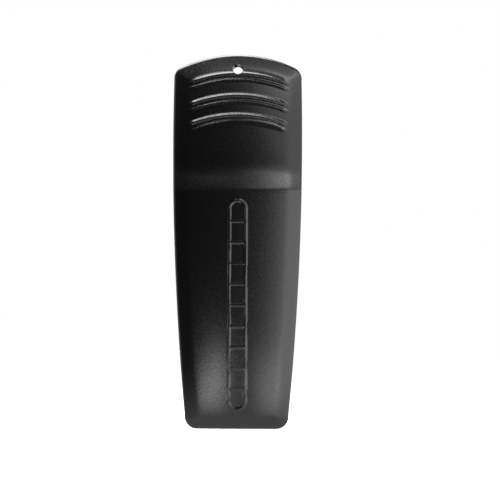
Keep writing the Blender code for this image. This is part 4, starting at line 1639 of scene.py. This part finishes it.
@dataclass
class Latch:
    """The spring-steel leaf with its catch and release tab, and the two rivets."""

    datum: Datum
    thick: float = 0.3 * MM
    half: float = 3.5 * MM
    waist: float = 2.75 * MM
    rivet_x: float = 2.2 * MM
    shank: float = 0.6 * MM
    head: float = 1.1 * MM
    room: float = 0.14 * MM
    route: tuple[tuple[float, float], ...] = (
        (-2.6, 52.9), (-2.6, 52.0), (-2.6, 49.6), (-2.6, 48.6), (-2.6, 46.4), (-2.6, 44.4),
        (-2.6, 43.2), (-2.6, 42.62), (-2.53, 42.4), (-2.35, 42.26), (-1.2, 42.1), (-0.2, 41.97),
        (0.3, 41.88), (0.52, 41.74), (0.56, 41.52), (0.46, 41.32), (-0.9, 40.34), (-2.1, 39.44),
        (-2.5, 39.02), (-2.6, 38.55), (-2.6, 37.4), (-2.6, 36.7), (-2.7, 36.2), (-3.0, 35.75),
        (-3.9, 35.0), (-4.6, 34.42), (-4.8, 34.3),
    )

    def half_width(self, height: float) -> float:
        """The leaf's half width: waisted between its root and its catch, round at the tab."""
        waist = float(smooth_step(height, 44.2, 45.2) * (1 - smooth_step(height, 48.6, 49.8)))
        tab = float(1 - smooth_step(height, 34.2, 35.4)) * 0.8 * MM
        root = float(smooth_step(height, 52.1, 52.95)) * 0.5 * MM
        return self.half - (self.half - self.waist) * waist - tab - root

    def leaf(self) -> bpy.types.Object:
        """The bent strip: a flat blank laid along its route, thickened and drilled."""
        columns, rows = 8, len(self.route) - 1
        start_clean()
        bpy.ops.mesh.primitive_grid_add(x_subdivisions=columns, y_subdivisions=rows, size=2)
        piece = named("latch_leaf_stamped")
        across, along, _ = points_of(piece).T
        stops = np.array([self.route[i] for i in np.rint((along + 1) / 2 * rows).astype(int)])
        half = np.array([self.half_width(height) for _, height in stops])
        y, z = stops[:, 0] * MM, self.datum.z(stops[:, 1] * MM)
        place_points(piece, np.column_stack([across * half, y, z]))
        apply(piece, "SOLIDIFY", thickness=self.thick, offset=0.0, use_even_offset=True)
        bevel(piece, 0.05 * MM, 2, 60)
        holes = []
        for side in Side:
            x, z = side.value * self.rivet_x, self.datum.latch_z
            start, end = Vector((x, -6 * MM, z)), Vector((x, 0, z))
            holes.append(barrel("cut_leaf_hole", self.shank + 0.1 * MM, start, end, 32))
        combine(piece, holes, Join.CUT)
        return piece

    def rivet(self, side: Side) -> bpy.types.Object:
        """A rivet with a domed front head and a flat head sunk in the plate.

        Args:
            side: Which rivet.

        Returns:
            The rivet.
        """
        front, head = self.datum.latch_y - self.thick / 2 - self.room, self.head
        turns = np.radians(range(0, 91, 15))
        profile = [(front - 0.6 * MM * math.cos(a), head * math.sin(a)) for a in turns]
        profile += [(front, self.shank), (-0.74 * MM, self.shank), (-0.74 * MM, head - 0.05 * MM)]
        profile += [(-0.32 * MM, head - 0.08 * MM), (-0.2 * MM, head - 0.2 * MM)]
        profile += [(-0.2 * MM, 0.42 * MM), (-0.34 * MM, 0.3 * MM), (-0.34 * MM, 0.0)]
        origin = Vector((side.value * self.rivet_x, 0, self.datum.latch_z))
        name = f"latch_rivet_{side.name.lower()}_set"
        return turned(name, profile, origin, Vector((0, 1, 0)), 40)

    def build(self, wardrobe: Wardrobe) -> list[bpy.types.Object]:
        """Models and dresses the leaf and its rivets, and hangs the rivets.

        Args:
            wardrobe: Where their finishes come from.

        Returns:
            The three pieces.
        """
        leaf = self.leaf()
        shade(leaf, 40)
        mark_edges(leaf, 0.5 * MM)
        wardrobe.dress(leaf, LATCH_STEEL)
        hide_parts("latch_leaf")
        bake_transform(leaf)
        pieces = [leaf]
        for side in Side:
            rivet = self.rivet(side)
            shade(rivet)
            mark_edges(rivet, 0.3 * MM)
            wardrobe.dress(rivet, LATCH_STEEL)
            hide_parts(f"latch_rivet_{side.name.lower()}")
            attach(rivet, "base")
            pieces.append(rivet)
        return pieces


# The studio ----------------------------------------------------------------------------


@dataclass(frozen=True)
class Softbox:
    """One area lamp, hung in a direction from the clip and aimed at a point of it.

    Azimuth is measured from the clip's front towards +X, elevation up from level.
    """

    name: str
    azimuth: float
    elevation: float
    reach: float
    width: float
    height: float
    radiance: float
    aim: tuple[float, float, float] = (0.0, -0.009, -0.015)

    def hang(self) -> None:
        """Adds the lamp, hidden from the camera itself."""
        az, el = math.radians(self.azimuth), math.radians(self.elevation)
        away = Vector((math.sin(az) * math.cos(el), -math.cos(az) * math.cos(el), math.sin(el)))
        start_clean()
        bpy.ops.object.light_add(type="AREA", location=Vector(self.aim) + away * self.reach)
        lamp = bpy.context.active_object
        lamp.name = self.name
        lamp.data.shape = "RECTANGLE"
        lamp.data.size, lamp.data.size_y = self.width, self.height
        lamp.data.energy = self.radiance * math.pi * self.width * self.height
        lamp.visible_camera = False
        lamp.rotation_euler = away.to_track_quat("Z", "Y").to_euler()


@dataclass
class Studio:
    """Pale floor, white surround, soft lamps and a long-lens camera square to the lever."""

    datum: Datum
    floor_gap: float = 6.0 * MM
    floor_size: float = 6.0
    lens: float = 500.0
    sensor: float = 36.0
    view_width: float = 104.8 * MM
    view_x: float = 2.66 * MM
    view_height: float = 37.6 * MM
    face_y: float = -6.5 * MM
    roll: float = 0.245
    bounce: float = 1.1
    bounce_reach: float = 0.022
    softboxes: tuple[Softbox, ...] = (
        Softbox("side_high_softbox", 58, 31, 0.6, 0.95, 0.55, 1.6),
        Softbox("side_low_softbox", 60, -22, 0.6, 0.95, 0.6, 2.9),
        Softbox("overhead_softbox", -155, 70, 0.5, 0.4, 0.4, 13.0),
        Softbox("head_card", 6, 52, 0.062, 0.06, 0.022, 1.9, (0.0, -0.009, 0.022)),
        Softbox("crease_card", 41, 48, 0.16, 0.084, 0.044, 5.2, (0.0095, -0.0135, -0.003)),
        Softbox("floor_card", 0, -90, 0.001, 0.011, 0.030, 6.4, (-0.0116, -0.044, -0.0585)),
        Softbox("right_floor_card", 0, -90, 0.001, 0.024, 0.030, 2.6, (0.021, -0.040, -0.0585)),
        Softbox("rear_softbox", 140, 12, 0.8, 0.75, 0.9, 2.4),
        Softbox("rear_left_softbox", -128, 10, 0.8, 0.3, 0.9, 1.6),
        Softbox("left_softbox", -88, 2, 0.8, 0.36, 0.9, 1.1),
        Softbox("inside_fill", 200, -35, 0.7, 0.5, 0.3, 2.0),
    )

    def surround(self) -> None:
        """A surround that is white to the camera and dim to everything else."""
        world = bpy.data.worlds.new("surround")
        bpy.context.scene.world = world
        world.use_nodes = True
        nodes = Nodes(world.node_tree)
        seen = nodes.add("ShaderNodeLightPath").outputs["Is Camera Ray"]
        dim = nodes.add("ShaderNodeBackground", Color=(0.95, 0.97, 1.0, 1), Strength=0.02)
        white = nodes.add("ShaderNodeBackground", Color=(1, 1, 1, 1), Strength=1.0)
        nodes.add("ShaderNodeOutputWorld", Surface=nodes.mixed(seen, dim, white).outputs[0])

    def floor(self) -> None:
        """A plain pale floor below the clip, which takes its shadow and, near it, lights it."""
        start_clean()
        height = self.datum.tip - self.floor_gap
        bpy.ops.mesh.primitive_circle_add(
            vertices=96, radius=self.floor_size / 2, fill_type="NGON", location=(0, 0, height)
        )
        floor = named("studio_floor")
        made = bpy.data.materials.new("pale_floor")
        made.use_nodes = True
        nodes = Nodes(made.node_tree)
        place = nodes.add("ShaderNodeTexCoord").outputs["Object"]
        reach = nodes.add("ShaderNodeVectorMath", {"operation": "LENGTH"}, in_0=place)
        away = nodes.math("SUBTRACT", reach.outputs["Value"], abs(height))
        glare = nodes.ease(away, 0.05, 0.3, 0.74, 1.0)
        far = nodes.ease(away, 0.0, self.bounce_reach, 0.0, 1.0)
        seen = nodes.add("ShaderNodeLightPath").outputs["Is Camera Ray"]
        lit = nodes.add("ShaderNodeBsdfDiffuse", Color=(0.8, 0.8, 0.8, 1))
        glow = nodes.add("ShaderNodeEmission", Color=(1, 1, 1, 1), Strength=glare)
        pale = nodes.add("ShaderNodeAddShader", in_0=lit.outputs[0], in_1=glow.outputs[0])
        bounce = nodes.add("ShaderNodeEmission", Color=(1, 1, 1, 1), Strength=self.bounce)
        clear = nodes.add("ShaderNodeBsdfTransparent")
        surface = nodes.mixed(seen, nodes.mixed(far, bounce, clear), pale)
        nodes.add("ShaderNodeOutputMaterial", Surface=surface.outputs[0])
        floor.data.materials.append(made)

    def lamps(self) -> None:
        """The softboxes."""
        for softbox in self.softboxes:
            softbox.hang()

    def camera(self) -> None:
        """The camera, square to the lever and turned a little about its own axis."""
        start_clean()
        bpy.ops.object.camera_add()
        camera = bpy.context.active_object
        camera.name = "front_camera"
        camera.data.lens = self.lens
        camera.data.sensor_width = self.sensor
        camera.data.clip_start = 0.01
        distance = self.view_width * self.lens / self.sensor
        place = (self.view_x, self.face_y - distance, self.datum.z(self.view_height))
        upright = Matrix.Rotation(math.radians(90), 4, "X")
        rolled = Matrix.Rotation(math.radians(self.roll), 4, "Z")
        camera.matrix_world = Matrix.Translation(place) @ upright @ rolled
        bpy.context.scene.camera = camera

    def build(self) -> None:
        """Sets up the whole studio."""
        bpy.context.scene.view_settings.view_transform = "Standard"
        self.surround()
        self.floor()
        self.lamps()
        self.camera()


def main() -> None:
    """Loads the frame and builds the studio and every sub-assembly in order."""
    logging.basicConfig(level=logging.INFO, format="%(name)s: %(message)s")
    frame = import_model()
    datum = Datum.from_frame(frame)
    Studio(datum).build()
    wardrobe = Wardrobe(Effects())
    for maker in (ClipLever, BasePlate, HingeSet, TorsionSpring, Latch):
        for piece in maker(datum).build(wardrobe):
            log.info("%s: %d faces", piece.name, len(piece.data.polygons))


if __name__ == "__main__":
    main()
